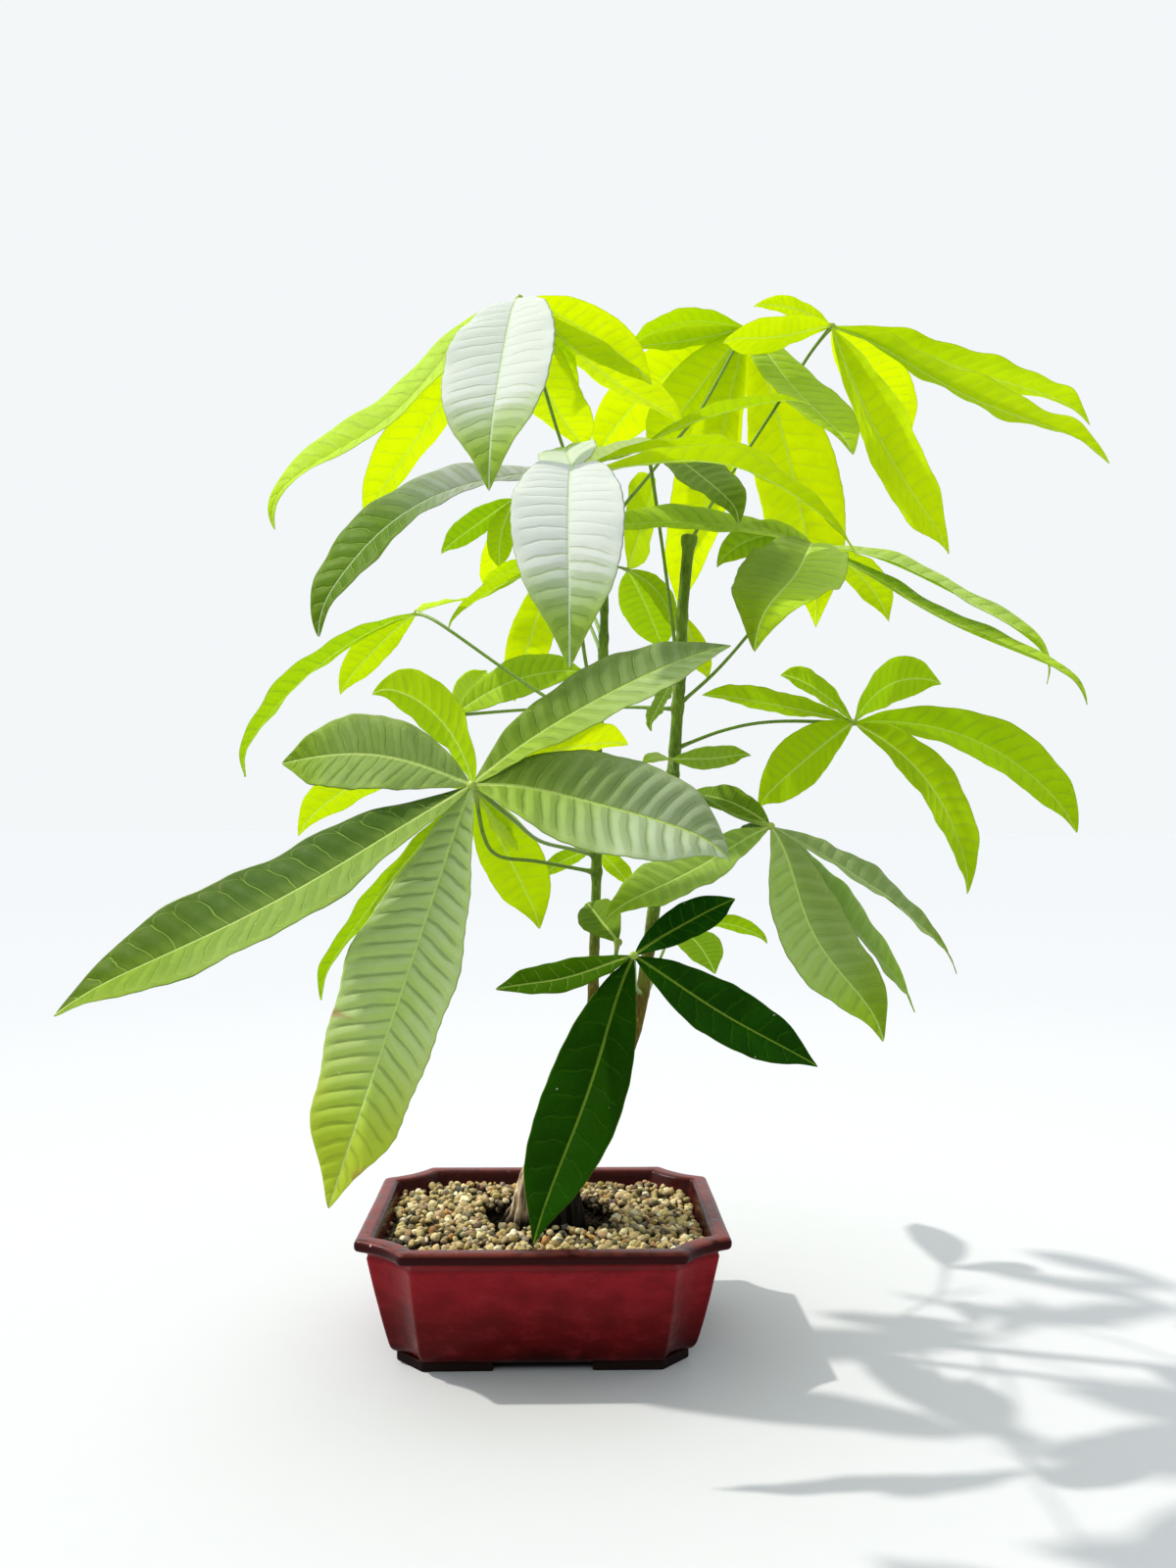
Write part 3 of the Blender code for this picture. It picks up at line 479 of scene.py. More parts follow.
def leaf_material():
    g = Graph("leaf_blade")
    u, s, t = g.split(g.attribute("vein").outputs["Vector"])[:3]
    half, gap, under = g.split(g.attribute("girth").outputs["Vector"])[:3]
    glow, painted_sheen, yellow = g.split(g.attribute("tone").outputs["Vector"])[:3]
    shade_one, shade_two, crease_shade = g.split(g.attribute("mark").outputs["Vector"])[:3]
    early = g.math("MAXIMUM", g.math("MULTIPLY", crease_shade, -1.0), 0.0)      # a painted sheen that ends soon after the hub
    crease_shade = g.math("MAXIMUM", crease_shade, 0.0)
    across = g.math("ABSOLUTE", s)
    side = g.math("GREATER_THAN", s, 0.0)
    # lines: the midrib, and side veins that alternate left and right
    mid_away = g.math("MULTIPLY", across, half)
    mid_half = g.math("MULTIPLY_ADD", t, -0.45, 0.95)
    mid = g.step(g.math("DIVIDE", mid_away, mid_half), 0.55, 1.15, 1.0, 0.0)
    phase = g.math("MULTIPLY_ADD", side, 0.5, u)
    wander = g.noise(g.node("ShaderNodeCombineXYZ", {0: u, 1: g.math("MULTIPLY", s, 2.5), 2: painted_sheen}).outputs[0], 0.8, 1.0)
    phase = g.math("ADD", phase, g.math("MULTIPLY", g.math("SUBTRACT", wander, 0.5), 0.5))
    turn = g.math("SUBTRACT", g.math("FRACT", g.math("ADD", phase, 0.5)), 0.5)
    away = g.math("MULTIPLY", g.math("ABSOLUTE", turn), gap)
    reach = g.math("MULTIPLY", g.step(across, 0.72, 0.90, 1.0, 0.0), g.step(t, 0.01, 0.07))
    side_vein = g.math("MULTIPLY", g.step(away, 0.14, 0.40, 1.0, 0.0), reach)
    # the grooves along the side veins: a real dip in the bump, and painted shade in the colour
    groove_and_shade = g.math("MULTIPLY", g.step(away, 0.15, 1.1, 1.0, 0.0), reach)
    groove_and_shade = g.math("MULTIPLY", groove_and_shade, g.step(glow, 0.45, 0.80, 1.0, 0.30))
    # painted shade on the far side of each dome between two veins, painted sheen on the near side
    dome_lit_side = g.step(turn, -0.42, 0.42)
    far_dome_shade = g.math("MULTIPLY", g.math("MULTIPLY", g.math("SUBTRACT", 1.0, dome_lit_side), g.step(glow, 0.50, 0.30)), g.math("MULTIPLY", g.step(glow, 0.06, 0.20), g.step(across, 0.98, 0.60)))
    # each side vein ends in a loop that bends back to the next one
    part = g.math("SUBTRACT", 1.0, g.math("MULTIPLY", g.math("ABSOLUTE", turn), 2.0))
    arc = g.math("MULTIPLY_ADD", g.math("SUBTRACT", 1.0, g.math("MULTIPLY", part, part)), 0.17, 0.72)
    loop = g.math("MULTIPLY", g.math("ABSOLUTE", g.math("SUBTRACT", across, arc)), half)
    loop = g.math("MULTIPLY", g.step(loop, 0.10, 0.36, 1.0, 0.0), g.math("MULTIPLY", g.step(half, 9.0, 15.0), g.step(t, 0.06, 0.14)))
    side_vein = g.math("MAXIMUM", side_vein, g.math("MULTIPLY", loop, 0.7))
    # positions on the blade in millimetres, for grain of a real size
    flat = g.node("ShaderNodeCombineXYZ", {0: g.math("MULTIPLY", u, gap), 1: g.math("MULTIPLY", s, half), 2: g.math("MULTIPLY", glow, 37.0)}).outputs[0]
    where = g.place()
    patches = g.noise(where, 38.0, 3.0, 0.55)
    mottle = g.noise(where, 190.0, 2.0, 0.5)
    net = g.node("ShaderNodeTexVoronoi", {"Vector": flat, "Scale": 0.62}, feature="DISTANCE_TO_EDGE").outputs["Distance"]
    net_line = g.step(net, 0.02, 0.14, 1.0, 0.0)

    face = g.ramp(glow, [(0.0, (0.006, 0.062, 0.0003)), (0.12, (0.070, 0.190, 0.0005)), (0.30, (0.440, 0.630, 0.045)),
                         (0.55, (0.560, 0.760, 0.010)), (1.0, (0.620, 0.840, 0.002))])
    lively = g.mix(g.step(glow, 0.04, 0.24), (0.012, 0.105, 0.0010), g.mix(0.5, face, (0.34, 0.48, 0.010)))
    face = g.mix(g.math("MULTIPLY", g.step(patches, 0.35, 0.70), 0.50), face, lively)
    face = g.mix(g.math("MULTIPLY", g.step(mottle, 0.45, 0.75), 0.25), face, g.mix(0.5, face, (0.02, 0.07, 0.004)))
    # painted shade on one half of the blade beside the midrib
    half_shade = g.math("ADD", g.math("MULTIPLY", g.math("SUBTRACT", 1.0, side), shade_one), g.math("MULTIPLY", side, shade_two))
    half_shade = g.math("MULTIPLY", half_shade, g.step(mottle, 0.0, 0.5, 0.85, 1.0))
    half_shade = g.math("MULTIPLY", half_shade, g.step(across, 0.0, 0.40, 0.60, 1.0))
    face = g.mix(half_shade, face, (0.028, 0.095, 0.0015))
    # painted shade in the vein grooves, deeper where the blade is creased
    face = g.mix(g.math("MULTIPLY", groove_and_shade, g.math("MULTIPLY_ADD", crease_shade, 0.45, 0.36)), face, g.mix(0.80, face, (0.012, 0.055, 0.001)))
    pale = g.math("MULTIPLY_ADD", g.step(glow, 0.02, 0.22), 0.57, 0.03)
    pale = g.math("MULTIPLY", pale, g.math("MULTIPLY_ADD", crease_shade, -0.6, 1.0))
    face = g.mix(g.math("MULTIPLY", far_dome_shade, 0.30), face, (0.060, 0.150, 0.004))
    face = g.mix(g.math("MULTIPLY", side_vein, pale), face, g.mix(0.65, face, (0.60, 0.72, 0.16)))
    # painted sheen: a pale highlight painted into the colour, strongest on the domes between veins and fading at the
    # tip
    late = g.math("LESS_THAN", painted_sheen, 0.0)      # a painted sheen that comes only towards the tip
    fade = g.math("ADD", g.math("MULTIPLY", g.math("SUBTRACT", 1.0, late), g.step(t, 0.92, 0.58, 0.04, 1.0)),
                  g.math("MULTIPLY", late, g.step(t, 0.15, 0.85, 0.10, 1.0)))
    painted_sheen_mask = g.math("MULTIPLY", g.math("ABSOLUTE", painted_sheen), fade)
    painted_sheen_mask = g.math("MULTIPLY", painted_sheen_mask, g.math("MULTIPLY_ADD", groove_and_shade, -0.34, 1.0))
    painted_sheen_mask = g.math("MULTIPLY", painted_sheen_mask, g.math("MULTIPLY_ADD", dome_lit_side, 0.30, 0.85))
    painted_sheen_mask = g.math("MULTIPLY", painted_sheen_mask, g.math("MULTIPLY_ADD", half_shade, -0.9, 1.0))
    painted_sheen_mask = g.math("MULTIPLY", painted_sheen_mask, g.step(patches, 0.10, 0.62, 0.55, 1.0))
    painted_sheen_mask = g.math("MULTIPLY", painted_sheen_mask, g.math("SUBTRACT", 1.0, g.math("MULTIPLY", early, g.step(t, 0.20, 0.62))))
    top = g.mix(painted_sheen_mask, face, (0.98, 0.98, 0.93))
    below = g.mix(0.30, face, (0.34, 0.50, 0.002))
    colour = g.mix(under, top, below)
    # ageing towards the tip: yellow, then a dry brown point
    age = g.math("ADD", t, g.math("MULTIPLY", g.math("SUBTRACT", patches, 0.5), 0.5))
    colour = g.mix(g.math("MULTIPLY", yellow, g.step(age, 0.50, 1.0)), colour, (0.50, 0.55, 0.07))
    dry = g.math("MULTIPLY", g.step(yellow, 0.4, 0.7), g.step(age, 0.955, 1.02))
    burn = g.math("MULTIPLY", g.step(g.math("MULTIPLY_ADD", g.math("ABSOLUTE", g.math("SUBTRACT", t, 0.60)), -30.0, g.math("MULTIPLY", s, -1.0)), 0.42, 0.90), yellow)
    dry = g.math("MAXIMUM", dry, g.math("MULTIPLY", burn, 0.8))
    colour = g.mix(dry, colour, (0.50, 0.27, 0.12))
    rib = g.mix(g.step(glow, 0.02, 0.28), (0.26, 0.42, 0.04), (0.74, 0.86, 0.26))
    rib = g.mix(g.math("MULTIPLY", painted_sheen, 0.6, clamp=True), rib, (0.90, 0.95, 0.78))
    colour = g.mix(g.math("MULTIPLY", mid, 0.85), colour, rib)
    edge = g.math("MULTIPLY", g.step(across, 0.965, 1.0), 0.45)
    colour = g.mix(edge, colour, g.mix(0.5, rib, (0.36, 0.52, 0.09)))
    # a few tiny pale specks of hard water
    specks = g.node("ShaderNodeTexVoronoi", {"Vector": flat, "Scale": 0.085, "Randomness": 1.0}, feature="F1")
    dot = g.math("MULTIPLY", g.step(specks.outputs["Distance"], 0.030, 0.050, 1.0, 0.0),
                 g.math("GREATER_THAN", g.split(specks.outputs["Color"])[0], 0.55))
    colour = g.mix(g.math("MULTIPLY", dot, 0.7), colour, (0.80, 0.84, 0.70))

    through = g.ramp(glow, [(0.0, (0.008, 0.050, 0.0002)), (0.15, (0.035, 0.140, 0.0005)), (0.30, (0.170, 0.340, 0.001)),
                            (0.55, (0.475, 0.630, 0.001)), (1.0, (0.905, 0.930, 0.004))])
    through = g.mix(g.math("MULTIPLY", g.step(patches, 0.40, 0.75), 0.18), through, (0.60, 0.75, 0.010))
    # the painted shade of the shaded half and of the vein grooves also darkens the light through the blade
    through = g.mix(g.math("MULTIPLY", half_shade, 0.8), through, (0.030, 0.120, 0.0005))
    through = g.mix(g.math("MULTIPLY", groove_and_shade, 0.45), through, (0.20, 0.40, 0.002))
    through = g.mix(g.math("MULTIPLY", side_vein, g.step(glow, 0.0, 0.22, 0.03, 0.38)), through, g.mix(0.5, through, (0.85, 0.95, 0.30)))
    through = g.mix(g.math("MULTIPLY", net_line, 0.10), through, (0.20, 0.40, 0.005))
    through = g.mix(g.math("MULTIPLY", mid, 0.55), through, g.mix(g.step(glow, 0.02, 0.28), (0.14, 0.26, 0.02), (0.62, 0.80, 0.10)))
    through = g.mix(g.math("MULTIPLY", yellow, g.step(age, 0.50, 1.0)), through, (0.58, 0.66, 0.05))
    through = g.mix(dry, through, (0.45, 0.18, 0.04))

    height = g.math("ADD", g.math("MULTIPLY", groove_and_shade, -0.22), g.math("MULTIPLY", mid, -0.25))
    height = g.math("ADD", height, g.math("MULTIPLY", mottle, 0.10))
    height = g.math("MULTIPLY", height, g.math("MULTIPLY_ADD", under, -1.9, 1.0))
    normal = g.bump(height)
    rough = g.math("ADD", g.math("MULTIPLY", mottle, 0.16), g.math("MULTIPLY_ADD", under, 0.20, 0.40))
    rough = g.math("ADD", rough, g.math("MULTIPLY", painted_sheen_mask, 0.10))
    shader = g.node("ShaderNodeBsdfPrincipled", {"Base Color": colour, "Roughness": rough, "Normal": normal,
                                                 "Specular IOR Level": 0.035})
    thin = g.node("ShaderNodeBsdfTranslucent", {"Color": through})
    both = g.node("ShaderNodeMixShader", {0: 0.55, 1: shader.outputs[0], 2: thin.outputs[0]})
    return g.finish(both.outputs[0])


def stalk_material():
    g = Graph("leaf_stalk")
    where = g.place()
    along, knob = g.split(g.attribute("vein").outputs["Vector"])[:2]
    grain = g.noise(g.stretch(where, (900.0, 900.0, 160.0)), 1.0, 2.0)
    spots = g.noise(where, 700.0, 1.0)
    colour = g.mix(grain, (0.090, 0.175, 0.014), (0.200, 0.320, 0.036))
    colour = g.mix(g.math("MULTIPLY", g.step(spots, 0.60, 0.72), 0.6), colour, (0.055, 0.060, 0.020))
    colour = g.mix(g.math("MULTIPLY", knob, 0.8), colour, (0.34, 0.44, 0.07))
    height = g.math("ADD", g.math("MULTIPLY", grain, 0.12), g.math("MULTIPLY", spots, 0.06))
    shader = g.node("ShaderNodeBsdfPrincipled", {"Base Color": colour, "Roughness": g.math("MULTIPLY_ADD", grain, 0.2, 0.38),
                                                 "Normal": g.bump(height), "Specular IOR Level": 0.18})
    return g.finish(shader.outputs[0])


def bark_material():
    """Grey fibrous root base that turns to brown, then to green stem skin higher up."""
    g = Graph("bark_and_stem")
    where = g.place()
    z = g.split(where)[2]
    fibre = g.noise(g.stretch(where, (420.0, 420.0, 34.0)), 1.0, 4.0, 0.62, 0.35)
    fine = g.noise(g.stretch(where, (1500.0, 1500.0, 190.0)), 1.0, 3.0, 0.6)
    blotch = g.noise(g.stretch(where, (90.0, 90.0, 45.0)), 1.0, 3.0)
    wood = g.ramp(fibre, [(0.30, (0.080, 0.050, 0.026)), (0.45, (0.260, 0.185, 0.110)), (0.60, (0.520, 0.400, 0.260)),
                          (0.76, (0.700, 0.580, 0.420))])
    wood = g.mix(g.step(blotch, 0.50, 0.72, 0.0, 0.5), wood, (0.090, 0.062, 0.036))
    # painted shade: down in the hollow at the trunk's foot, and on its right flank lower down, the bark is darkened
    # nearly to black
    shade_height = g.math("ADD", z, g.math("MULTIPLY", g.math("SUBTRACT", blotch, 0.5), 0.020))
    wood = g.mix(g.math("MULTIPLY", g.step(shade_height, 0.070, 0.060), 0.98), wood, (0.008, 0.0055, 0.003))
    shaded_flank = g.math("ADD", g.math("SUBTRACT", g.split(where)[0], POT_X), g.math("MULTIPLY", z, -0.16))
    wood = g.mix(g.math("MULTIPLY", g.step(shaded_flank, -0.024, -0.014), g.math("MULTIPLY", g.step(shade_height, 0.125, 0.095), 0.98)), wood, (0.008, 0.0055, 0.003))
    brown = g.ramp(g.math("MULTIPLY_ADD", fine, 0.6, g.math("MULTIPLY", blotch, 0.4)),
                   [(0.30, (0.034, 0.029, 0.005)), (0.50, (0.125, 0.095, 0.014)), (0.70, (0.250, 0.185, 0.034))])
    green = g.ramp(g.math("MULTIPLY_ADD", fine, 0.6, g.math("MULTIPLY", blotch, 0.4)),
                   [(0.30, (0.028, 0.060, 0.005)), (0.50, (0.105, 0.180, 0.012)), (0.72, (0.210, 0.310, 0.030))])
    high = g.math("ADD", z, g.math("MULTIPLY", g.math("SUBTRACT", blotch, 0.5), 0.09))
    colour = g.mix(g.step(high, 0.118, 0.160), wood, brown)
    colour = g.mix(g.step(high, 0.178, 0.240), colour, green)
    lenticel = g.node("ShaderNodeTexVoronoi", {"Vector": g.stretch(where, (260.0, 260.0, 120.0)), "Scale": 1.0})
    dots = g.math("MULTIPLY", g.step(lenticel.outputs["Distance"], 0.10, 0.17, 1.0, 0.0), g.step(z, 0.14, 0.17))
    colour = g.mix(g.math("MULTIPLY", dots, 0.45), colour, (0.33, 0.30, 0.12))
    young = g.step(z, 0.14, 0.24)
    height = g.math("ADD", g.math("MULTIPLY", fibre, g.math("MULTIPLY_ADD", young, -1.05, 1.2)),
                    g.math("MULTIPLY", fine, g.math("MULTIPLY_ADD", young, -0.30, 0.45)))
    height = g.math("ADD", height, g.math("MULTIPLY", dots, 0.15))
    rough = g.math("MULTIPLY_ADD", young, -0.38, 0.88)
    shader = g.node("ShaderNodeBsdfPrincipled", {"Base Color": colour, "Roughness": rough, "Normal": g.bump(height),
                                                 "Specular IOR Level": 0.12})
    return g.finish(shader.outputs[0])


def glaze_material():
    """Deep burgundy glaze: thin and brown on the lip, darker towards the bottom."""
    g = Graph("burgundy_glaze")
    where = g.place()
    z = g.split(where)[2]
    kind = g.step(z, 0.0058, 0.0042)      # 0 glazed, 1 bare foot
    clouds = g.noise(g.stretch(where, (34.0, 34.0, 60.0)), 1.0, 4.0, 0.6)
    fine = g.noise(where, 900.0, 3.0, 0.6)
    runs = g.noise(g.stretch(where, (210.0, 210.0, 18.0)), 1.0, 3.0)
    level = g.math("ADD", z, g.math("MULTIPLY", g.math("SUBTRACT", clouds, 0.5), 0.030))
    colour = g.ramp(g.math("DIVIDE", level, 0.0671), [
        (0.04, (0.020, 0.0015, 0.0012)), (0.16, (0.058, 0.0024, 0.0024)), (0.42, (0.112, 0.0042, 0.0052)),
        (0.68, (0.200, 0.0075, 0.0110)), (0.84, (0.235, 0.0100, 0.0150)), (0.93, (0.130, 0.0080, 0.0080))])
    colour = g.mix(g.math("MULTIPLY", g.step(runs, 0.42, 0.70), 0.06), colour, (0.060, 0.0060, 0.0060))
    blots = g.noise(g.stretch(where, (70.0, 70.0, 120.0)), 1.0, 4.0, 0.65)
    colour = g.mix(g.step(blots, 0.50, 0.66, 0.0, 0.22), colour, g.mix(0.6, colour, (0.30, 0.030, 0.040)))
    colour = g.mix(g.step(blots, 0.48, 0.34, 0.0, 0.30), colour, g.mix(0.7, colour, (0.030, 0.002, 0.002)))
    # the lip: dark band on its face, dusty brown-red on top where the glaze is thin
    lip = g.step(z, 0.0608, 0.0622)
    colour = g.mix(g.math("MULTIPLY", lip, 0.94), colour, g.mix(clouds, (0.010, 0.0012, 0.0010), (0.028, 0.0034, 0.0028)))
    crown = g.math("MULTIPLY", g.step(z, 0.0652, 0.0669), g.step(g.noise(where, 120.0, 3.0), 0.22, 0.60))
    colour = g.mix(g.math("MULTIPLY", crown, 0.9), colour, g.mix(clouds, (0.085, 0.013, 0.010), (0.190, 0.042, 0.031)))
    cove = g.math("MULTIPLY", g.step(z, 0.0556, 0.0572), g.step(z, 0.0612, 0.0600))
    colour = g.mix(g.math("MULTIPLY", cove, 0.55), colour, (0.150, 0.022, 0.024))
    # pin-holes, and worn specks along the lip
    pits = g.node("ShaderNodeTexVoronoi", {"Vector": where, "Scale": 85.0}, feature="F1")
    pit = g.math("MULTIPLY", g.step(pits.outputs["Distance"], 0.035, 0.075, 1.0, 0.0),
                 g.math("GREATER_THAN", g.split(pits.outputs["Color"])[1], 0.72))
    colour = g.mix(g.math("MULTIPLY", pit, 0.85), colour, (0.012, 0.004, 0.004))
    chips = g.node("ShaderNodeTexVoronoi", {"Vector": where, "Scale": 240.0}, feature="F1")
    chip = g.math("MULTIPLY", g.step(chips.outputs["Distance"], 0.10, 0.22, 1.0, 0.0),
                  g.math("GREATER_THAN", g.split(chips.outputs["Color"])[0], 0.93))
    chip = g.math("MULTIPLY", chip, g.math("MULTIPLY", g.step(z, 0.0640, 0.0650), g.step(z, 0.0672, 0.0668)))
    colour = g.mix(g.math("MULTIPLY", chip, 0.8), colour, (0.55, 0.36, 0.30))
    # painted shade: the inner wall above the soil is darkened where shade falls inside the pot
    away = g.node("ShaderNodeCombineXYZ", {0: g.math("SUBTRACT", g.split(where)[0], POT_X), 1: g.math("SUBTRACT", g.split(where)[1], POT_Y)}).outputs[0]
    facing = g.node("ShaderNodeVectorMath", {0: g.node("ShaderNodeNewGeometry").outputs["Normal"],
                                             1: g.node("ShaderNodeVectorMath", {0: away}, operation="NORMALIZE").outputs[0]},
                    operation="DOT_PRODUCT").outputs["Value"]
    inner_wall_shade = g.math("MULTIPLY", g.step(facing, -0.12, -0.45), g.step(z, 0.050, 0.054))
    colour = g.mix(g.math("MULTIPLY", inner_wall_shade, 0.90), colour, (0.036, 0.0065, 0.0055))
    bare = g.mix(fine, (0.004, 0.0020, 0.0018), (0.016, 0.0070, 0.0055))
    colour = g.mix(kind, colour, bare)
    rough = g.math("ADD", g.math("MULTIPLY_ADD", fine, 0.10, 0.16), g.math("MULTIPLY", kind, 0.55))
    rough = g.math("ADD", rough, g.math("MULTIPLY", crown, 0.22))
    height = g.math("ADD", g.math("MULTIPLY", clouds, 0.9), g.math("MULTIPLY", fine, 0.035))
    height = g.math("ADD", height, g.math("MULTIPLY", pit, -0.35))
    height = g.math("ADD", height, g.math("MULTIPLY", runs, 0.03))
    shader = g.node("ShaderNodeBsdfPrincipled", {"Base Color": colour, "Roughness": rough, "Normal": g.bump(height),
                                                 "Specular IOR Level": 0.07})
    return g.finish(shader.outputs[0])


def stone_material():
    g = Graph("gravel_stone")
    where = g.place()
    own = g.attribute("own").outputs["Color"]
    shade = g.split(g.attribute("own_shade").outputs["Vector"])[0]
    grain = g.noise(where, 900.0, 3.0, 0.6)
    bands = g.noise(where, 330.0, 2.0, 0.6, 0.6)
    colour = g.mix(g.step(bands, 0.35, 0.72, 0.0, 0.55), own, g.mix(0.5, own, (0.55, 0.47, 0.33)))
    colour = g.mix(g.step(grain, 0.50, 0.66, 0.0, 0.60), colour, g.mix(0.6, colour, (0.10, 0.070, 0.030)))
    # painted shade: stones of the deeper layer are darkened nearly to black, standing for the shade in the gaps between
    # the top stones
    colour = g.mix(g.math("MULTIPLY", shade, 0.9), colour, (0.010, 0.007, 0.004))
    colour = g.mix(g.step(g.noise(where, 60.0, 2.0), 0.55, 0.70, 0.0, 0.30), colour, (0.060, 0.045, 0.020))
    height = g.math("ADD", g.math("MULTIPLY", grain, 0.45), g.math("MULTIPLY", bands, 0.60))
    shader = g.node("ShaderNodeBsdfPrincipled", {"Base Color": colour, "Roughness": g.math("MULTIPLY_ADD", grain, 0.25, 0.55),
                                                 "Normal": g.bump(height), "Specular IOR Level": 0.10})
    return g.finish(shader.outputs[0])


def soil_material():
    g = Graph("potting_soil")
    where = g.place()
    crumbs = g.noise(where, 420.0, 5.0, 0.7)
    lumps = g.node("ShaderNodeTexVoronoi", {"Vector": where, "Scale": 380.0}).outputs["Distance"]
    fleck = g.noise(where, 1300.0, 2.0)
    # partly painted shade: the soil is darkened nearly to black, standing for the deep shade in the hollow round the
    # trunk
    colour = g.ramp(crumbs, [(0.30, (0.003, 0.002, 0.0015)), (0.50, (0.010, 0.007, 0.004)), (0.72, (0.032, 0.022, 0.013))])
    colour = g.mix(g.step(fleck, 0.68, 0.74, 0.0, 0.4), colour, (0.12, 0.08, 0.04))
    height = g.math("ADD", g.math("MULTIPLY", crumbs, 1.6), g.math("MULTIPLY", lumps, -0.8))
    shader = g.node("ShaderNodeBsdfPrincipled", {"Base Color": colour, "Roughness": g.math("MULTIPLY_ADD", crumbs, 0.1, 0.88),
                                                 "Normal": g.bump(height), "Specular IOR Level": 0.03})
    return g.finish(shader.outputs[0])


def screen_material():
    g = Graph("screen_plastic")
    where = g.place()
    grain = g.noise(where, 1600.0, 3.0)
    dust = g.noise(where, 260.0, 3.0)
    colour = g.mix(g.step(dust, 0.45, 0.75, 0.0, 0.6), (0.016, 0.016, 0.017), (0.070, 0.052, 0.036))
    shader = g.node("ShaderNodeBsdfPrincipled", {"Base Color": colour, "Roughness": g.math("MULTIPLY_ADD", dust, 0.3, 0.40),
                                                 "Normal": g.bump(grain, 0.0001)})
    return g.finish(shader.outputs[0])


def floor_material():
    g = Graph("pale_floor")
    where = g.place()
    x, y = g.split(where)[:2]
    far = g.math("SQRT", g.math("ADD", g.math("MULTIPLY", x, x), g.math("MULTIPLY", y, y)))
    tooth = g.noise(where, 60.0, 3.0)
    near = g.mix(tooth, (0.430, 0.430, 0.430), (0.440, 0.440, 0.440))
    tone = g.ramp(g.math("DIVIDE", far, 10.0, clamp=True), [(0.03, (1.00, 1.00, 1.00)), (0.07, (0.95, 0.955, 0.96)), (0.14, (0.893, 0.898, 0.908)),
                                                (0.40, (0.868, 0.878, 0.888)), (1.0, (0.866, 0.876, 0.886))])
    colour = g.mix(1.0, near, tone, "MULTIPLY")
    # painted shadow: a dark patch on the floor under the pot
    px = g.math("ABSOLUTE", g.math("SUBTRACT", x, POT_X))
    py = g.math("ABSOLUTE", g.math("SUBTRACT", y, POT_Y))
    pot_shadow_patch = g.math("MULTIPLY", g.step(px, 0.064, 0.058), g.step(py, 0.0535, 0.0490))
    colour = g.mix(g.math("MULTIPLY", pot_shadow_patch, 0.93), colour, (0.020, 0.014, 0.012))
    shader = g.node("ShaderNodeBsdfPrincipled", {"Base Color": colour, "Roughness": 0.85, "Specular IOR Level": 0.0})
    return g.finish(shader.outputs[0])


# ---- mesh helpers ---------------------------------------------------------
def smooth_step(x, a, b):
    u = np.clip((np.asarray(x, float) - a) / (b - a), 0.0, 1.0)
    return u * u * (3 - 2 * u)


def mesh_piece(name, points, faces, materials, slots=None, attributes=None, smooth=True):
    """An object from arrays: points, a list of face arrays (quads and triangles), per-point attributes."""
    mesh = bpy.data.meshes.new(name)
    loops = np.concatenate([f.ravel() for f in faces]).astype(np.int32)
    sizes = np.concatenate([np.full(len(f), f.shape[1]) for f in faces])
    starts = np.concatenate([[0], np.cumsum(sizes)[:-1]]).astype(np.int32)
    mesh.vertices.add(len(points))
    mesh.vertices.foreach_set("co", np.asarray(points, np.float32).ravel())
    mesh.loops.add(len(loops))
    mesh.loops.foreach_set("vertex_index", loops)
    mesh.polygons.add(len(sizes))
    mesh.polygons.foreach_set("loop_start", starts)
    for mat in materials:
        mesh.materials.append(mat)
    if slots is not None:
        mesh.polygons.foreach_set("material_index", np.asarray(slots, np.int32))
    for key, values in (attributes or {}).items():
        layer = mesh.attributes.new(key, "FLOAT_VECTOR", "POINT")
        layer.data.foreach_set("vector", np.asarray(values, np.float32).ravel())
    mesh.update(calc_edges=True)
    mesh.validate()
    if smooth:
        mesh.shade_smooth()
    obj = bpy.data.objects.new(name, mesh)
    bpy.context.scene.collection.objects.link(obj)
    return obj


def ring_faces(rows, count, close=True):
    """Quads between neighbouring rings of count points each."""
    i, j = np.meshgrid(np.arange(rows - 1), np.arange(count if close else count - 1), indexing="ij")
    k = (j + 1) % count
    return np.stack([i * count + j, i * count + k, (i + 1) * count + k, (i + 1) * count + j], -1).reshape(-1, 4)


def fan(centre, ring, flip=False):
    ring = np.asarray(ring)
    nxt = np.roll(ring, -1)
    tri = np.stack([np.full(len(ring), centre), ring, nxt], -1)
    return tri[:, ::-1] if flip else tri


class Builder:
    """Collects sub-meshes into one piece."""

    def __init__(self):
        self.points, self.faces, self.slots, self.values = [], [], [], {}
        self.count = 0

    def add(self, points, faces, slot, **values):
        points = np.asarray(points, float)
        for f in faces:
            self.faces.append(np.asarray(f) + self.count)
            self.slots.append(np.full(len(f), slot))
        for key, v in values.items():
            self.values.setdefault(key, []).append(np.broadcast_to(np.asarray(v, float), (len(points), 3)))
        self.points.append(points)
        self.count += len(points)

    def piece(self, name, materials, smooth=True):
        order = np.argsort([-f.shape[1] for f in self.faces], kind="stable")
        faces = [self.faces[i] for i in order]
        slots = np.concatenate([self.slots[i] for i in order])
        return mesh_piece(name, np.concatenate(self.points) + OFFSET, faces, materials, slots,
                          {k: np.concatenate(v) for k, v in self.values.items()}, smooth)


def settle(obj):
    """Apply an object's modifiers."""
    bpy.context.view_layer.update()
    graph = bpy.context.evaluated_depsgraph_get()
    mesh = bpy.data.meshes.new_from_object(obj.evaluated_get(graph), depsgraph=graph)
    obj.modifiers.clear()
    obj.data = mesh
    return obj


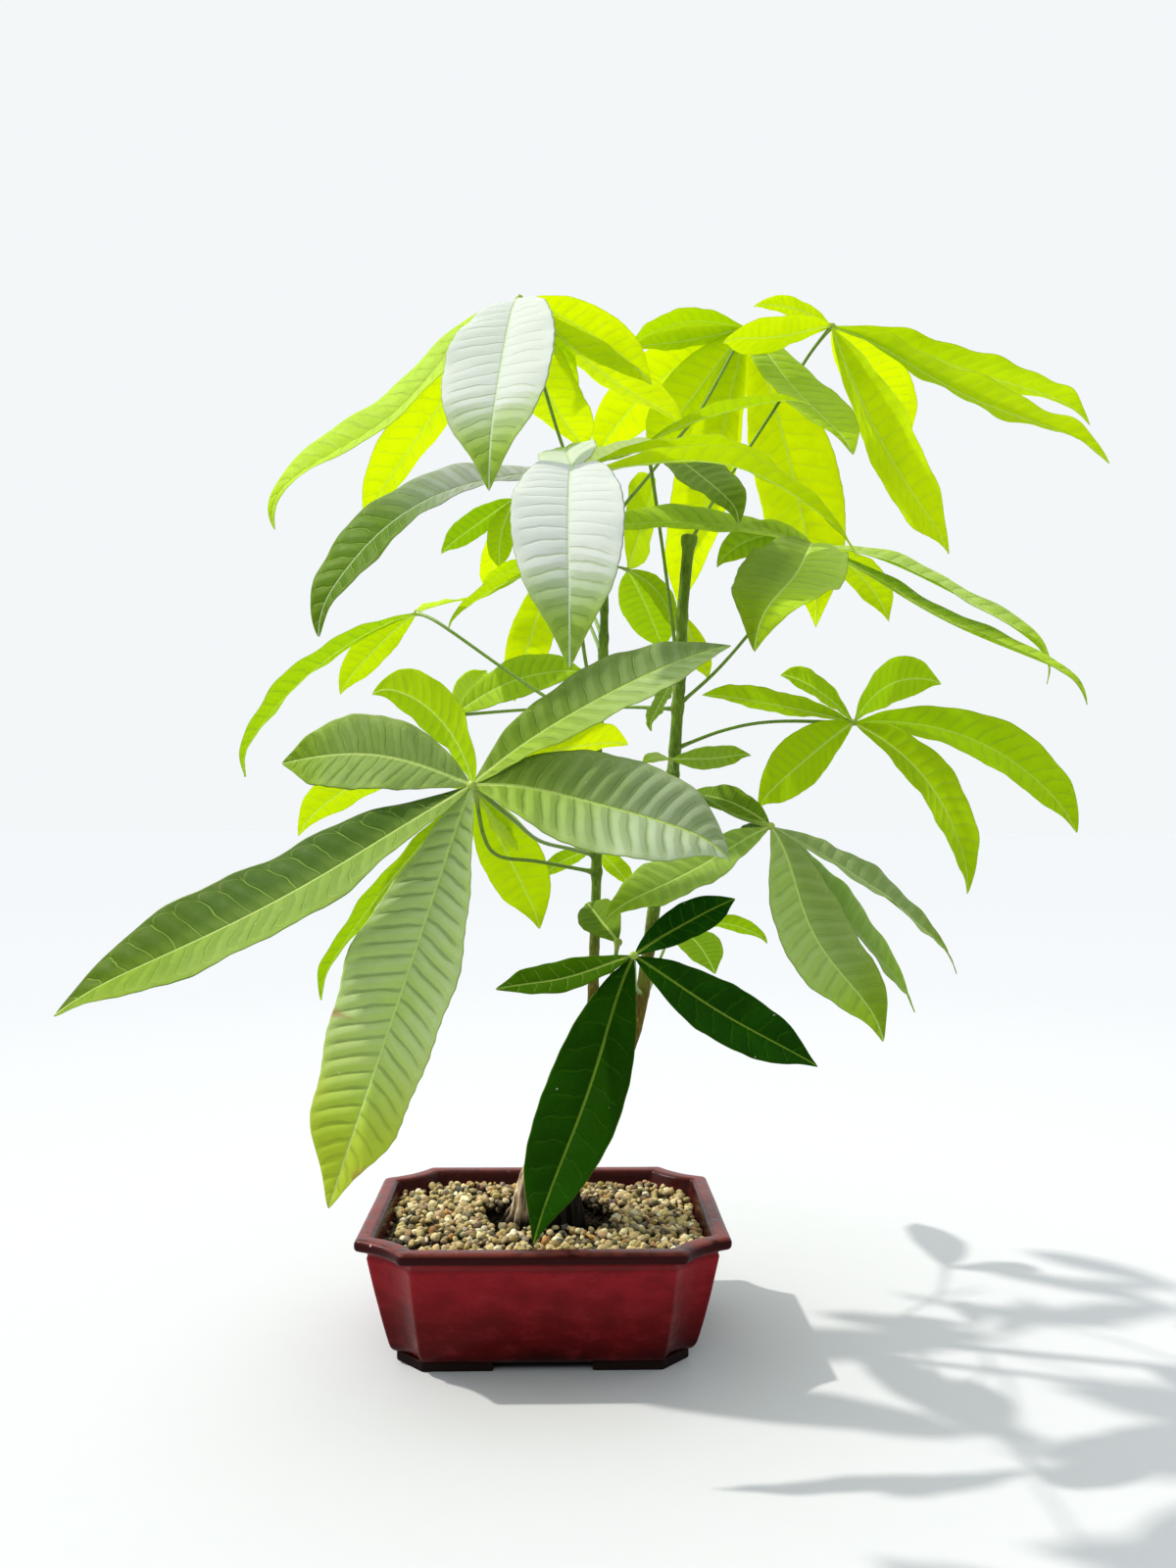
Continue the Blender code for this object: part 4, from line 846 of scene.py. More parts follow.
def catmull(points, steps):
    pts = [np.asarray(p, float) for p in points]
    ends = [pts[0] * 2 - pts[1]] + pts + [pts[-1] * 2 - pts[-2]]
    path = []
    for a, b, c, d in zip(ends, ends[1:], ends[2:], ends[3:]):
        for i in range(steps):
            t = i / steps
            path.append(0.5 * (2 * b + (c - a) * t + (2 * a - 5 * b + 4 * c - d) * t * t + (3 * b - a - 3 * c + d) * t ** 3))
    path.append(pts[-1])
    return np.array(path)


def tube_rings(path, radii, count):
    """Rings of points round a path, carried along without twisting."""
    path = np.asarray(path, float)
    tangent = np.gradient(path, axis=0)
    tangent /= np.linalg.norm(tangent, axis=1)[:, None]
    start = np.array([1.0, 0.0, 0.0]) if abs(tangent[0][0]) < 0.8 else np.array([0.0, 1.0, 0.0])
    side = start - tangent[0] * start.dot(tangent[0])
    rings = []
    a = 2 * np.pi * np.arange(count) / count
    for point, along, radius in zip(path, tangent, radii):
        side = side - along * side.dot(along)
        side /= np.linalg.norm(side)
        other = np.cross(along, side)
        r = np.broadcast_to(radius, (count,))
        rings.append(point + (np.cos(a) * r)[:, None] * side + (np.sin(a) * r)[:, None] * other)
    return np.array(rings)


def own(obj, *nodes, slot=None):
    """Put a finished piece on the CAD body and hide the CAD parts it stands for."""
    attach(obj, "root")
    if nodes:
        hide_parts(*nodes)
    return obj


# ---- leaves ---------------------------------------------------------------
def blade_width(t, belly=0.55):
    a = 0.95
    b = a * (1 - belly) / belly
    t = np.clip(t, 0.0, 1.0)
    return (t ** a) * ((1 - t) ** b) / (belly ** a * (1 - belly) ** b)


def blade_frame(spec, hook, t):
    heading, rise, droop, sweep, wave, length, width, roll = spec
    h = np.radians(heading + sweep * t)
    e = np.radians(rise - droop * t + wave * np.sin(2 * np.pi * t) - hook * smooth_step(t, 0.80, 1.0) ** 1.5)
    along = np.stack([np.cos(h) * np.cos(e), np.sin(h) * np.cos(e), np.sin(e)], -1)
    level = np.stack([-np.sin(h), np.cos(h), np.zeros_like(h)], -1)
    up = np.cross(along, level)
    r = math.radians(roll)
    side = level * math.cos(r) + up * math.sin(r)
    normal = up * math.cos(r) - level * math.sin(r)
    return along, side, normal


def add_leaflet(build, hub, spec, look, yellow, seed, pair_scale, fine, mark=(0.0, 0.0, 0.0)):
    glow, painted_sheen, pucker, ripple, hook = look
    length, width = spec[5] * MM, spec[6] * MM
    rng = np.random.default_rng(seed)
    belly = 0.55 + rng.uniform(-0.025, 0.025)
    pairs = max(6, int(round((9 + spec[5] / 20.0) * pair_scale)))
    big = spec[5] > 105
    small = spec[5] < 60
    per = (6 if fine else 4) if big else (4 if not small else 3)
    rows = per * pairs
    if small:
        cols = [0.0, 0.10, 0.35, 0.70, 0.96, 1.0]
    elif big:
        cols = [0.0, 0.035, 0.10, 0.21, 0.34, 0.48, 0.62, 0.76, 0.88, 0.965, 1.0]
    else:
        cols = [0.0, 0.05, 0.16, 0.34, 0.55, 0.76, 0.955, 1.0]
    half_cols = np.array(cols)
    s_top = np.concatenate([-half_cols[::-1], half_cols[1:]])        # -1 .. 1 over the top
    s_low = s_top[::-1][1:-1]                                        # back underneath
    s = np.concatenate([s_top, s_low])
    under = np.concatenate([np.zeros(len(s_top)), np.ones(len(s_low))])
    under[0] = under[len(s_top) - 1] = 0.5
    ring = len(s)

    samples = 240
    tt = (np.arange(samples) + 0.5) / samples
    along, _, _ = blade_frame(spec, hook, tt)
    spine = np.vstack([np.zeros(3), np.cumsum(along, 0) * length / samples])
    grid_t = np.linspace(0, 1, samples + 1)

    u = np.linspace(0, 1, rows + 1)
    u = u[:-1]
    u = np.concatenate([[0.0, 0.006], u[1:], [1 - 0.45 / rows]])
    half_u = width / 2 * blade_width(u, belly)
    advance = 0.30 * half_u / length
    U, S = np.meshgrid(u, s, indexing="ij")
    absS = np.abs(S)
    T = U + advance[:, None] * (absS + 0.45 * absS ** 2) * smooth_step(U, 0.0, 0.08)
    T = np.clip(T, 0.0, 0.9995)
    # outline: slightly different left and right, gently scalloped at the vein ends
    wob = 0.0
    for k in (2, 3, 5):
        wob = wob + rng.uniform(-1, 1) * np.sin(2 * np.pi * (k * T + rng.uniform()) + 1.7 * np.sign(S)) / k
    wob = 1 + 0.022 * wob + 0.006 * np.cos(2 * np.pi * (U * pairs + 0.5 * (S > 0)))
    lean = 1 + 0.035 * rng.uniform(-1, 1) * np.sign(S)
    shape = blade_width(T, belly) * (1 - 0.42 * smooth_step(T, 0.80, 1.0))
    half = width / 2 * shape * wob * lean
    stub = 0.00095 * (1 - smooth_step(T, 0.0, 0.10)) + 0.00022
    half = np.maximum(half, stub)

    _, side, normal = blade_frame(spec, hook, T.ravel())
    side = side.reshape(*T.shape, 3)
    normal = normal.reshape(*T.shape, 3)
    centre = np.stack([np.interp(T, grid_t, spine[:, k]) for k in range(3)], -1)

    open_up = smooth_step(T, 0.02, 0.12)
    curve = 0.150 + 0.05 * rng.uniform(-1, 1)
    lift = half * ((0.174 + curve) * absS - curve * absS ** 2) * open_up
    # domes between the side veins
    phase = U * pairs + 0.5 * (S > 0)
    near = np.abs((phase + 0.5) % 1.0 - 0.5) * 2
    dome = 1 - (1 - near) ** 2
    env = smooth_step(absS, 0.0, 0.22) * (1 - 0.85 * smooth_step(absS, 0.78, 1.0)) * smooth_step(T, 0.02, 0.12) \
        * (1 - smooth_step(T, 0.90, 1.0))
    lift = lift + pucker * MM * (dome - 0.55) * env
    # slow rolling of the blade, and waves along the margin
    for k in (1.3, 2.1, 3.4):
        lift = lift + 0.0011 * rng.uniform(-1, 1) * (length / 0.16) * np.sin(2 * np.pi * (k * T + rng.uniform())) \
            * np.sin(np.pi * absS * 0.5) * open_up / k
    turns = rng.uniform(2.2, 3.6)
    for sign in (-1, 1):
        wave = np.sin(2 * np.pi * (turns * T + rng.uniform())) + 0.5 * np.sin(2 * np.pi * (2.3 * turns * T + rng.uniform()))
        lift = lift + np.where(S * sign > 0, 1.0, 0.0) * ripple * MM * wave * absS ** 2.2 * smooth_step(T, 0.05, 0.25) \
            * (1 - 0.8 * smooth_step(T, 0.85, 1.0))
    # thickness: a thin blade, a rib beneath along the midrib, a round stalklet at the hub
    half_mm = half / MM
    rib = np.exp(-(absS * half_mm / (0.75 - 0.35 * T)) ** 2)
    thick = 0.00013 + rib * (0.00055 * (1 - T) + 0.00008)
    low = under[None, :] * np.ones_like(T)
    rim = (absS > 0.999)
    top_off = np.where(rim, 0.0, 0.00013) + rib * 0.0006 * (1 - smooth_step(T, 0.0, 0.09)) - rib * 0.00012 * open_up
    low_off = -np.where(rim, 0.0, thick) - rib * 0.0006 * (1 - smooth_step(T, 0.0, 0.09))
    off = np.where(low > 0.75, low_off, np.where(low < 0.25, top_off, 0.0))
    points = hub + centre + side * (half * S)[..., None] + normal * (lift + off)[..., None]

    n_rows = len(u)
    flat = points.reshape(-1, 3)
    tip_t = np.array([0.99999])
    _, _, tip_n = blade_frame(spec, hook, tip_t)
    tip = hub + spine[-1]
    base = hub + spine[0]
    flat = np.vstack([flat, tip, base])
    quads = ring_faces(n_rows, ring)[:, ::-1]
    last = (n_rows - 1) * ring + np.arange(ring)
    first = np.arange(ring)
    tris = np.vstack([fan(len(flat) - 2, last, True), fan(len(flat) - 1, first)])
    gap = length / pairs / MM
    vein = np.stack([U * pairs, S, T], -1).reshape(-1, 3)
    vein = np.vstack([vein, [pairs, 0, 1], [0, 0, 0]])
    girth = np.stack([half_mm, np.full_like(T, gap), low], -1).reshape(-1, 3)
    girth = np.vstack([girth, [0.2, gap, 0.5], [1.0, gap, 0.5]])
    tone = np.array([glow, painted_sheen, yellow])
    build.add(flat, [quads, tris], 0, vein=vein, girth=girth, tone=tone, mark=np.array(mark))


def stem_distance(point, stem):
    best = 1.0
    for (ax, ay, az, ar), (bx, by, bz, br) in zip(stem, stem[1:]):
        a, b = np.array((ax, ay, az)) * MM, np.array((bx, by, bz)) * MM
        span = b - a
        k = max(0.0, min(1.0, (point - a).dot(span) / span.dot(span)))
        best = min(best, np.linalg.norm(point - (a + span * k)) - (ar + (br - ar) * k) * MM)
    return best


def build_leaf(name, leaf, materials, index):
    build = Builder()
    hub = np.array(leaf["hub"], float) * MM
    path = catmull([np.array(p, float) * MM for p in leaf["stalk"]] + [hub], 7)
    # start just inside the stem's skin
    stem = STEMS[leaf["stem"]]
    while len(path) > 3 and stem_distance(path[1], stem) < -0.0008:
        path = path[1:]
    step = np.linalg.norm(np.diff(path, axis=0), axis=1)
    run = np.concatenate([[0], np.cumsum(step)])
    radius = PETIOLE_RADIUS * (1 + 1.0 * np.exp(-(run / 0.0040) ** 2) + 0.55 * np.exp(-((run[-1] - run) / 0.0045) ** 2)
                               - 0.16 * np.sin(np.pi * run / run[-1]))
    if run[-1] < 0.03:
        radius *= 0.75
    count = 12
    rings = tube_rings(path, radius, count)
    flat = np.vstack([rings.reshape(-1, 3), path[0], path[-1]])
    quads = ring_faces(len(path), count)
    tris = np.vstack([fan(len(flat) - 2, np.arange(count), True), fan(len(flat) - 1, (len(path) - 1) * count + np.arange(count))])
    knob = np.exp(-((run[-1] - run) / 0.006) ** 2)
    values = np.stack([np.repeat(run / run[-1], count), np.repeat(knob, count), np.zeros(len(path) * count)], -1)
    values = np.vstack([values, [0, 0, 0], [1, 1, 0]])
    build.add(flat, [quads, tris], 1, vein=values, girth=(0, 0, 0), tone=(0, 0, 0), mark=(0, 0, 0))
    # the knob where the leaflets meet
    rng = np.random.default_rng(700 + index)
    big = PETIOLE_RADIUS * (2.05 if run[-1] > 0.03 else 1.35)
    a = np.linspace(0, np.pi, 9)[1:-1]
    b = 2 * np.pi * np.arange(14) / 14
    A, B = np.meshgrid(a, b, indexing="ij")
    r = big * (1 + 0.10 * np.sin(3 * B + rng.uniform(0, 6)) * np.sin(A) + 0.06 * np.cos(2 * A))
    ball = np.stack([r * np.sin(A) * np.cos(B), r * np.sin(A) * np.sin(B), 0.85 * r * np.cos(A)], -1).reshape(-1, 3)
    ball = np.vstack([ball, [0, 0, 0.85 * big], [0, 0, -0.85 * big]]) + hub
    quads = ring_faces(7, 14)[:, ::-1]
    tris = np.vstack([fan(98, np.arange(14)), fan(99, 6 * 14 + np.arange(14), True)])
    build.add(ball, [quads, tris], 1, vein=(1, 1, 0), girth=(0, 0, 0), tone=(0, 0, 0), mark=(0, 0, 0))
    for i, spec in enumerate(leaf["leaflets"]):
        fine = name in ("leaf_front_left", "leaf_top_front", "leaf_top_left", "leaf_right_lower", "leaf_low_front")
        add_leaflet(build, hub, spec, LOOKS[name][i], YELLOWING.get((name, i), 0.0), 40 * index + i + 1,
                    VEIN_PAIRS.get((name, i), VEIN_PAIRS.get(name, 1.0)), fine, PAINTED_SHADES.get((name, i), (0.0, 0.0, 0.0)))
    obj = build.piece(name.replace("leaf_", "foliage_").replace("sprout_", "shoot_"), materials)
    return own(obj, name, slot="leaf_bright" if name in BRIGHT else "leaf_dark")


# ---- trunk and stems ------------------------------------------------------
def rough_field(points, scale, seed):
    """Smooth pseudo-random field made of a few sine waves, -1 to 1."""
    rng = np.random.default_rng(seed)
    total = np.zeros(len(points))
    for _ in range(9):
        direction = rng.normal(size=3) * scale
        total += np.sin(points @ direction + rng.uniform(0, 6.28))
    return total / 4.5


def build_trunk(mat):
    build = Builder()

    def tube_part(path, radii, count=28):
        rings = tube_rings(path, radii, count)
        flat = np.vstack([rings.reshape(-1, 3), path[0], path[-1]])
        quads = ring_faces(len(path), count)
        tris = np.vstack([fan(len(flat) - 2, np.arange(count), True),
                          fan(len(flat) - 1, (len(path) - 1) * count + np.arange(count))])
        build.add(flat, [quads, tris], 0)

    # swollen base, drawn in to a shoulder from which the two stems leave
    rows = [(x, y, z, r) for x, y, z, r in TRUNK_RINGS] + [(31, 6, 136, 10.0), (32, 6, 141, 6.0)]
    path = catmull([np.array(r[:3], float) * MM for r in rows], 4)
    radii = catmull([np.array([r[3], 0, 0], float) * MM for r in rows], 4)[:, 0]
    count = 72
    a = 2 * np.pi * np.arange(count) / count
    rings = []
    for p, r in zip(path, radii):
        z = p[2] / MM
        fade = max(0.12, min(1.0, (118 - z) / 45))
        swell = 1 + fade * 0.10 * (np.cos(3 * a + 0.6) + 0.45 * np.cos(5 * a + 2.1)) / 1.45
        swell = swell + fade * 0.035 * np.cos(9 * a + 1.0 + z * 0.02)
        rings.append(np.stack([p[0] + r * swell * np.cos(a), p[1] + r * swell * np.sin(a), np.full(count, p[2])], -1))
    rings = np.array(rings)
    flat = np.vstack([rings.reshape(-1, 3), path[0], path[-1]])
    quads = ring_faces(len(path), count)
    tris = np.vstack([fan(len(flat) - 2, np.arange(count), True),
                      fan(len(flat) - 1, (len(path) - 1) * count + np.arange(count))])
    build.add(flat, [quads, tris], 0)

    # roots that run from the base down into the soil
    rng = np.random.default_rng(11)
    for k in range(11):
        turn = 2 * np.pi * (k + rng.uniform(-0.25, 0.25)) / 11
        out = np.array([math.cos(turn), math.sin(turn), 0.0])
        top = rng.uniform(72, 96) * MM
        thin = rng.uniform(1.5, 3.2) * MM
        foot = np.array([0, 0, 0]) * MM
        pts = [foot + out * 0.0155 + [0, 0, top], foot + out * 0.0185 + [0, 0, top - 0.012],
               foot + out * (0.0212 + rng.uniform(0, .002)) + [0, 0, 0.060],
               foot + out * (0.0245 + rng.uniform(0, .003)) + [0, 0, 0.052],
               foot + out * (0.0280 + rng.uniform(0, .004)) + [0, 0, 0.046]]
        line = catmull(pts, 6)
        tube_part(line, np.linspace(thin * 0.8, thin * 0.6, len(line)), 12)

    # the stems, with a swelling at each leaf's foot and at old leaf scars
    scars = {"stem_left": [], "stem_right": []}
    for leaf in LEAVES.values():
        scars[leaf["stem"]].append(leaf["stalk"][0][2])
    for name, rows in STEMS.items():
        r0 = rows[0]
        start = [(r0[0] * 0.55 + 13, r0[1] * 0.6 + 1, 106, r0[3] + 1.5), (r0[0] * 0.8 + 5, r0[1] * 0.8, 120, r0[3] + 0.8)]
        rows = start + list(rows[1:])
        path = catmull([np.array(r[:3], float) * MM for r in rows], 12)
        radii = catmull([np.array([r[3], 0, 0], float) * MM for r in rows], 12)[:, 0]
        z = path[:, 2] / MM
        extra = np.zeros(len(path))
        own_rng = np.random.default_rng(5 if name == "stem_left" else 6)
        for height in scars[name]:
            extra += 0.55 * np.exp(-((z - height) / 2.6) ** 2)
        for height in np.arange(160, z.max() - 12, 27):
            height = height + own_rng.uniform(-8, 8)
            extra += 0.28 * np.exp(-((z - height) / 1.2) ** 2)
        if name == "stem_right":
            extra += 0.8 * smooth_step(z, z.max() - 9, z.max() - 2)
        tube_part(path, radii + extra * MM, 28)
    obj = build.piece("trunk_and_stems", [mat])
    remesh = obj.modifiers.new("skin", "REMESH")
    remesh.mode = "VOXEL"
    remesh.voxel_size = 0.00072
    soften = obj.modifiers.new("soften", "SMOOTH")
    soften.factor = 0.5
    soften.iterations = 4
    settle(obj)
    mesh = obj.data
    count = len(mesh.vertices)
    co = np.empty(count * 3, np.float32)
    mesh.vertices.foreach_get("co", co)
    normal = np.empty(count * 3, np.float32)
    mesh.vertices.foreach_get("normal", normal)
    co, normal = co.reshape(-1, 3).astype(float), normal.reshape(-1, 3).astype(float)
    local = co - OFFSET
    wood = 1 - smooth_step(local[:, 2], 0.120, 0.175)
    stretched = local * np.array([1.0, 1.0, 0.16])
    ridge = 1 - np.abs(rough_field(stretched, 420.0, 21))
    shift = wood * (0.0010 * (ridge - 0.55) + 0.00035 * rough_field(stretched, 1100.0, 22)
                    + 0.0007 * rough_field(local, 160.0, 23))
    shift += (1 - wood) * (0.00010 * rough_field(stretched, 900.0, 24) + 0.00010 * rough_field(local, 300.0, 25))
    co += normal * shift[:, None]
    mesh.vertices.foreach_set("co", co.astype(np.float32).ravel())
    mesh.materials.clear()
    mesh.materials.append(mat)
    mesh.shade_smooth()
    mesh.update()
    return own(obj, "root_base", "stem_left", "stem_right", slot="bark")


# ---- pot ------------------------------------------------------------------
def corner_points(half_x, half_y, cut_x, cut_y, bow, z, spans=16, sides=26, ends=18):
    """The pot's section with many points, its ridges slightly rounded."""
    sections = []
    for sx, sy in ((1, -1), (1, 1), (-1, 1), (-1, -1)):
        near_end = np.array([sx * (half_x - cut_x), sy * half_y])
        side_end = np.array([sx * half_x, sy * (half_y - cut_y)])
        start, end = (near_end, side_end) if sx * sy < 0 else (side_end, near_end)
        inwards = np.array([-sx * cut_y, -sy * cut_x])
        inwards = inwards / np.linalg.norm(inwards)
        u = np.linspace(0, 1, spans + 1)
        u = u - 0.10 * np.sin(2 * np.pi * u) / (2 * np.pi) * 4
        sections.append(start + (end - start) * u[:, None] + inwards * (bow * 4 * u * (1 - u))[:, None])
    points = []
    for k, section in enumerate(sections):
        nxt = sections[(k + 1) % 4]
        number = ends if k % 2 == 0 else sides
        u = np.linspace(0, 1, number + 2)[1:-1]
        u = u - 0.85 * np.sin(2 * np.pi * u) / (2 * np.pi)
        points.append(section)
        points.append(section[-1] + (nxt[0] - section[-1]) * u[:, None])
    flat = np.concatenate(points)
    for _ in range(2):
        flat = 0.5 * flat + 0.25 * (np.roll(flat, 1, 0) + np.roll(flat, -1, 0))
    return np.column_stack([flat, np.full(len(flat), z)])


def body_section(z, inset):
    u = (z - UNDERSIDE_Z) / (POT_HEIGHT - 0.006 - UNDERSIDE_Z)
    top_x, top_y = POT_HALF_X - RIM_OVERHANG, POT_HALF_Y - RIM_OVERHANG
    half_x = BASE_HALF_X + (top_x - BASE_HALF_X) * u - inset
    half_y = BASE_HALF_Y + (top_y - BASE_HALF_Y) * u - inset
    cut_x = BASE_CUT_X + (RIM_CUT_X - BASE_CUT_X) * u - 0.4 * inset
    cut_y = BASE_CUT_Y + (RIM_CUT_Y - BASE_CUT_Y) * u - 0.4 * inset
    return corner_points(half_x, half_y, cut_x, cut_y, CORNER_BOW, z)


def rim_section(z, inset):
    return corner_points(POT_HALF_X - inset, POT_HALF_Y - inset, RIM_CUT_X - 0.4 * inset, RIM_CUT_Y - 0.4 * inset,
                         CORNER_BOW, z)


def build_foot(sx, sy, mat):
    """A corner foot with worn edges, its plan pulled up into the pot's underside."""
    import bmesh
    plan = [(POT_X + sx * x * MM, POT_Y + sy * y * MM) for x, y in FOOT_PLAN]
    bm = bmesh.new()
    low = [bm.verts.new((x, y, 0.0)) for x, y in plan]
    high = [bm.verts.new((x, y, FOOT_HEIGHT)) for x, y in plan]
    count = len(plan)
    bm.faces.new(low[::-1])
    bm.faces.new(high)
    for i in range(count):
        bm.faces.new((low[i], low[(i + 1) % count], high[(i + 1) % count], high[i]))
    bmesh.ops.recalc_face_normals(bm, faces=bm.faces)
    mesh = bpy.data.meshes.new("foot")
    bm.to_mesh(mesh)
    bm.free()
    mesh.materials.append(mat)
    foot = bpy.data.objects.new("foot_%d_%d" % (sx, sy), mesh)
    bpy.context.scene.collection.objects.link(foot)
    mod = foot.modifiers.new("worn", "BEVEL")
    mod.width, mod.segments = 0.0009, 3
    return foot


def build_pot(mat):
    top = POT_HEIGHT
    rings = [body_section(UNDERSIDE_Z, 0.0070), body_section(UNDERSIDE_Z + 0.0002, 0.0046),
             body_section(UNDERSIDE_Z + 0.0008, 0.0028), body_section(UNDERSIDE_Z + 0.0018, 0.0015),
             body_section(UNDERSIDE_Z + 0.0032, 0.0006), body_section(UNDERSIDE_Z + 0.0056, 0.0001)]
    rings += [body_section(z * MM, -0.0004 * math.sin(math.pi * (z - 9.5) / 46)) for z in range(13, 55, 4)]
    rings += [body_section(z * MM, i * MM) for z, i in ((54.6, 0.0), (55.6, 0.05), (56.2, 0.45), (56.8, 0.85), (57.6, 0.95),
                                                        (58.5, 0.75), (59.3, 0.2), (60.0, -0.8), (60.5, -2.0))]
    rings += [rim_section(top - d * MM, i * MM) for d, i in (
        (6.35, 1.7), (6.0, 1.0), (5.4, 0.45), (4.6, 0.12), (3.6, 0.0), (2.6, 0.0), (1.8, 0.18), (1.1, 0.55), (0.55, 1.15),
        (0.18, 1.95), (0.02, 2.9), (0.0, 4.2), (0.0, 5.6), (0.05, 6.9), (0.25, 7.9), (0.7, 8.8), (1.4, 9.5), (2.4, 10.0),
        (4.0, 10.4))]
    rings += [body_section(z * MM, WALL) for z in (55, 42, 30, 20)]
    rings += [body_section(FLOOR_Z + 0.0030, WALL), body_section(FLOOR_Z + 0.0008, WALL + 0.0012),
              body_section(FLOOR_Z, WALL + 0.0035)]
    rings = np.array(rings)
    # hand-made: the walls wander very slightly
    flat = rings.reshape(-1, 3)
    wander = rough_field(flat, 45.0, 31) * 0.00035 + rough_field(flat, 130.0, 32) * 0.00009
    out = flat.copy()
    out[:, 2] = 0
    out /= np.linalg.norm(out, axis=1)[:, None] + 1e-9
    flat = flat + out * wander[:, None] * smooth_step(flat[:, 2], 0.004, 0.012)[:, None] - out * 0.0002
    count = rings.shape[1]
    build = Builder()
    flat = np.vstack([flat, [0, 0, UNDERSIDE_Z], [0, 0, FLOOR_Z]])
    quads = ring_faces(len(rings), count)
    tris = np.vstack([fan(len(flat) - 2, np.arange(count), True),
                      fan(len(flat) - 1, (len(rings) - 1) * count + np.arange(count))])
    clay = np.zeros((len(flat), 3))
    clay[:, 0] = 1 - smooth_step(flat[:, 2], 0.0040, 0.0048)
    inside = np.zeros(len(flat), bool)
    inside[-1] = True
    clay[inside, 0] = 1
    clay[:, 1] = flat[:, 2]
    build.add(flat, [quads, tris], 0, clay=clay)
    pot = build.piece("glazed_pot", [mat])
    feet = [build_foot(sx, sy, mat) for sx in (-1, 1) for sy in (-1, 1)]
    for foot in feet:
        mod = pot.modifiers.new("join", "BOOLEAN")
        mod.operation, mod.solver, mod.object = "UNION", "EXACT", foot
    holes = []
    for side in (-1, 1):
        bpy.ops.mesh.primitive_cylinder_add(radius=DRAIN_RADIUS, depth=0.03, vertices=40,
                                            location=(POT_X + side * DRAIN_X, POT_Y, 0.008))
        holes.append(bpy.context.object)
        mod = pot.modifiers.new("drill", "BOOLEAN")
        mod.operation, mod.solver, mod.object = "DIFFERENCE", "EXACT", holes[-1]
    settle(pot)
    for extra in feet + holes:
        bpy.data.objects.remove(extra, do_unlink=True)
    pot.data.shade_smooth()
    pot.data.set_sharp_from_angle(angle=math.radians(50))
    return own(pot, "pot", slot="glaze")


# ---- soil and gravel ------------------------------------------------------
def inside_pot(x, y, margin):
    """How far inside the pot's inner wall a point is, beyond a margin; negative outside."""
    hx, hy = POT_HALF_X - 0.0104, POT_HALF_Y - 0.0104
    cx, cy = RIM_CUT_X - 0.0042, RIM_CUT_Y - 0.0042
    straight = np.minimum(hx - np.abs(x), hy - np.abs(y))
    reach = np.hypot(cx, cy)
    slant = (cy * (hx - np.abs(x)) + cx * (hy - np.abs(y)) - cx * cy) / reach
    mid = np.clip(1 - np.abs((np.abs(x) - (hx - cx / 2)) / cx * 2), 0, 1)
    return np.minimum(straight, slant - CORNER_BOW * mid * (2 - mid)) - margin


def hollow(x, y):
    """Distance outside the bare patch round the trunk, as a share of its size."""
    cx, cy, rx, ry = GRAVEL_HOLE
    a = np.arctan2(y - cy, x - cx)
    wave = 1 + 0.05 * np.sin(3 * a + 0.4) + 0.05 * np.sin(5 * a) + 0.03 * np.sin(9 * a + 2)
    return np.hypot((x - cx) / rx, (y - cy) / ry) / wave - 1


def build_soil(mat):
    steps = 64
    rings = [body_section(FLOOR_Z + 0.0004, WALL + 0.0042), body_section(FLOOR_Z + 0.0033, WALL + 0.0008),
             body_section(0.030, WALL + 0.0006), body_section(SOIL_TOP_Z - 0.0030, WALL + 0.0010)]
    edge = body_section(SOIL_TOP_Z, WALL + 0.0022)
    tops = []
    for k in range(steps):
        f = 1 - (k / steps) ** 1.0
        ring = edge.copy()
        ring[:, :2] *= f
        x, y = ring[:, 0], ring[:, 1]
        dip = -0.0026 * (1 - smooth_step(hollow(x, y), -0.35, 0.10))
        ring[:, 2] = SOIL_TOP_Z - 0.0008 + dip + 0.0007 * rough_field(ring * [1, 1, 0], 260.0, 41) \
            + 0.0006 * rough_field(ring * [1, 1, 0], 900.0, 42) + 0.0004 * rough_field(ring * [1, 1, 0], 1900.0, 43)
        tops.append(ring)
    rings = np.array(rings + tops)
    count = rings.shape[1]
    flat = np.vstack([rings.reshape(-1, 3), [0, 0, FLOOR_Z + 0.0004], [0, 0, SOIL_TOP_Z - 0.003]])
    tris = np.vstack([fan(len(flat) - 2, np.arange(count), True),
                      fan(len(flat) - 1, (len(rings) - 1) * count + np.arange(count))])
    build = Builder()
    build.add(flat, [ring_faces(len(rings), count), tris], 0)
    # loose crumbs in the bare patch
    rng = np.random.default_rng(47)
    shapes = stone_shapes(12, 48, 0.30)
    made = 0
    while made < 420:
        x, y = rng.uniform(-0.040, 0.044), rng.uniform(-0.038, 0.042)
        gap = float(hollow(np.array(x), np.array(y)))
        if gap > 0.12 or math.hypot(x, y) < 0.0175:
            continue
        size = rng.uniform(0.0006, 0.0019)
        points, faces = shapes[rng.integers(12)]
        turn = random_turn(rng)
        z = SOIL_TOP_Z - 0.0030 + 0.0030 * smooth_step(gap, -0.35, 0.10) + rng.uniform(0.0, 0.0010)
        build.add((points * size) @ turn.T + [x, y, z], [faces], 0)
        made += 1
    return own(build.piece("soil_bed", [mat]), "soil", slot="soil")


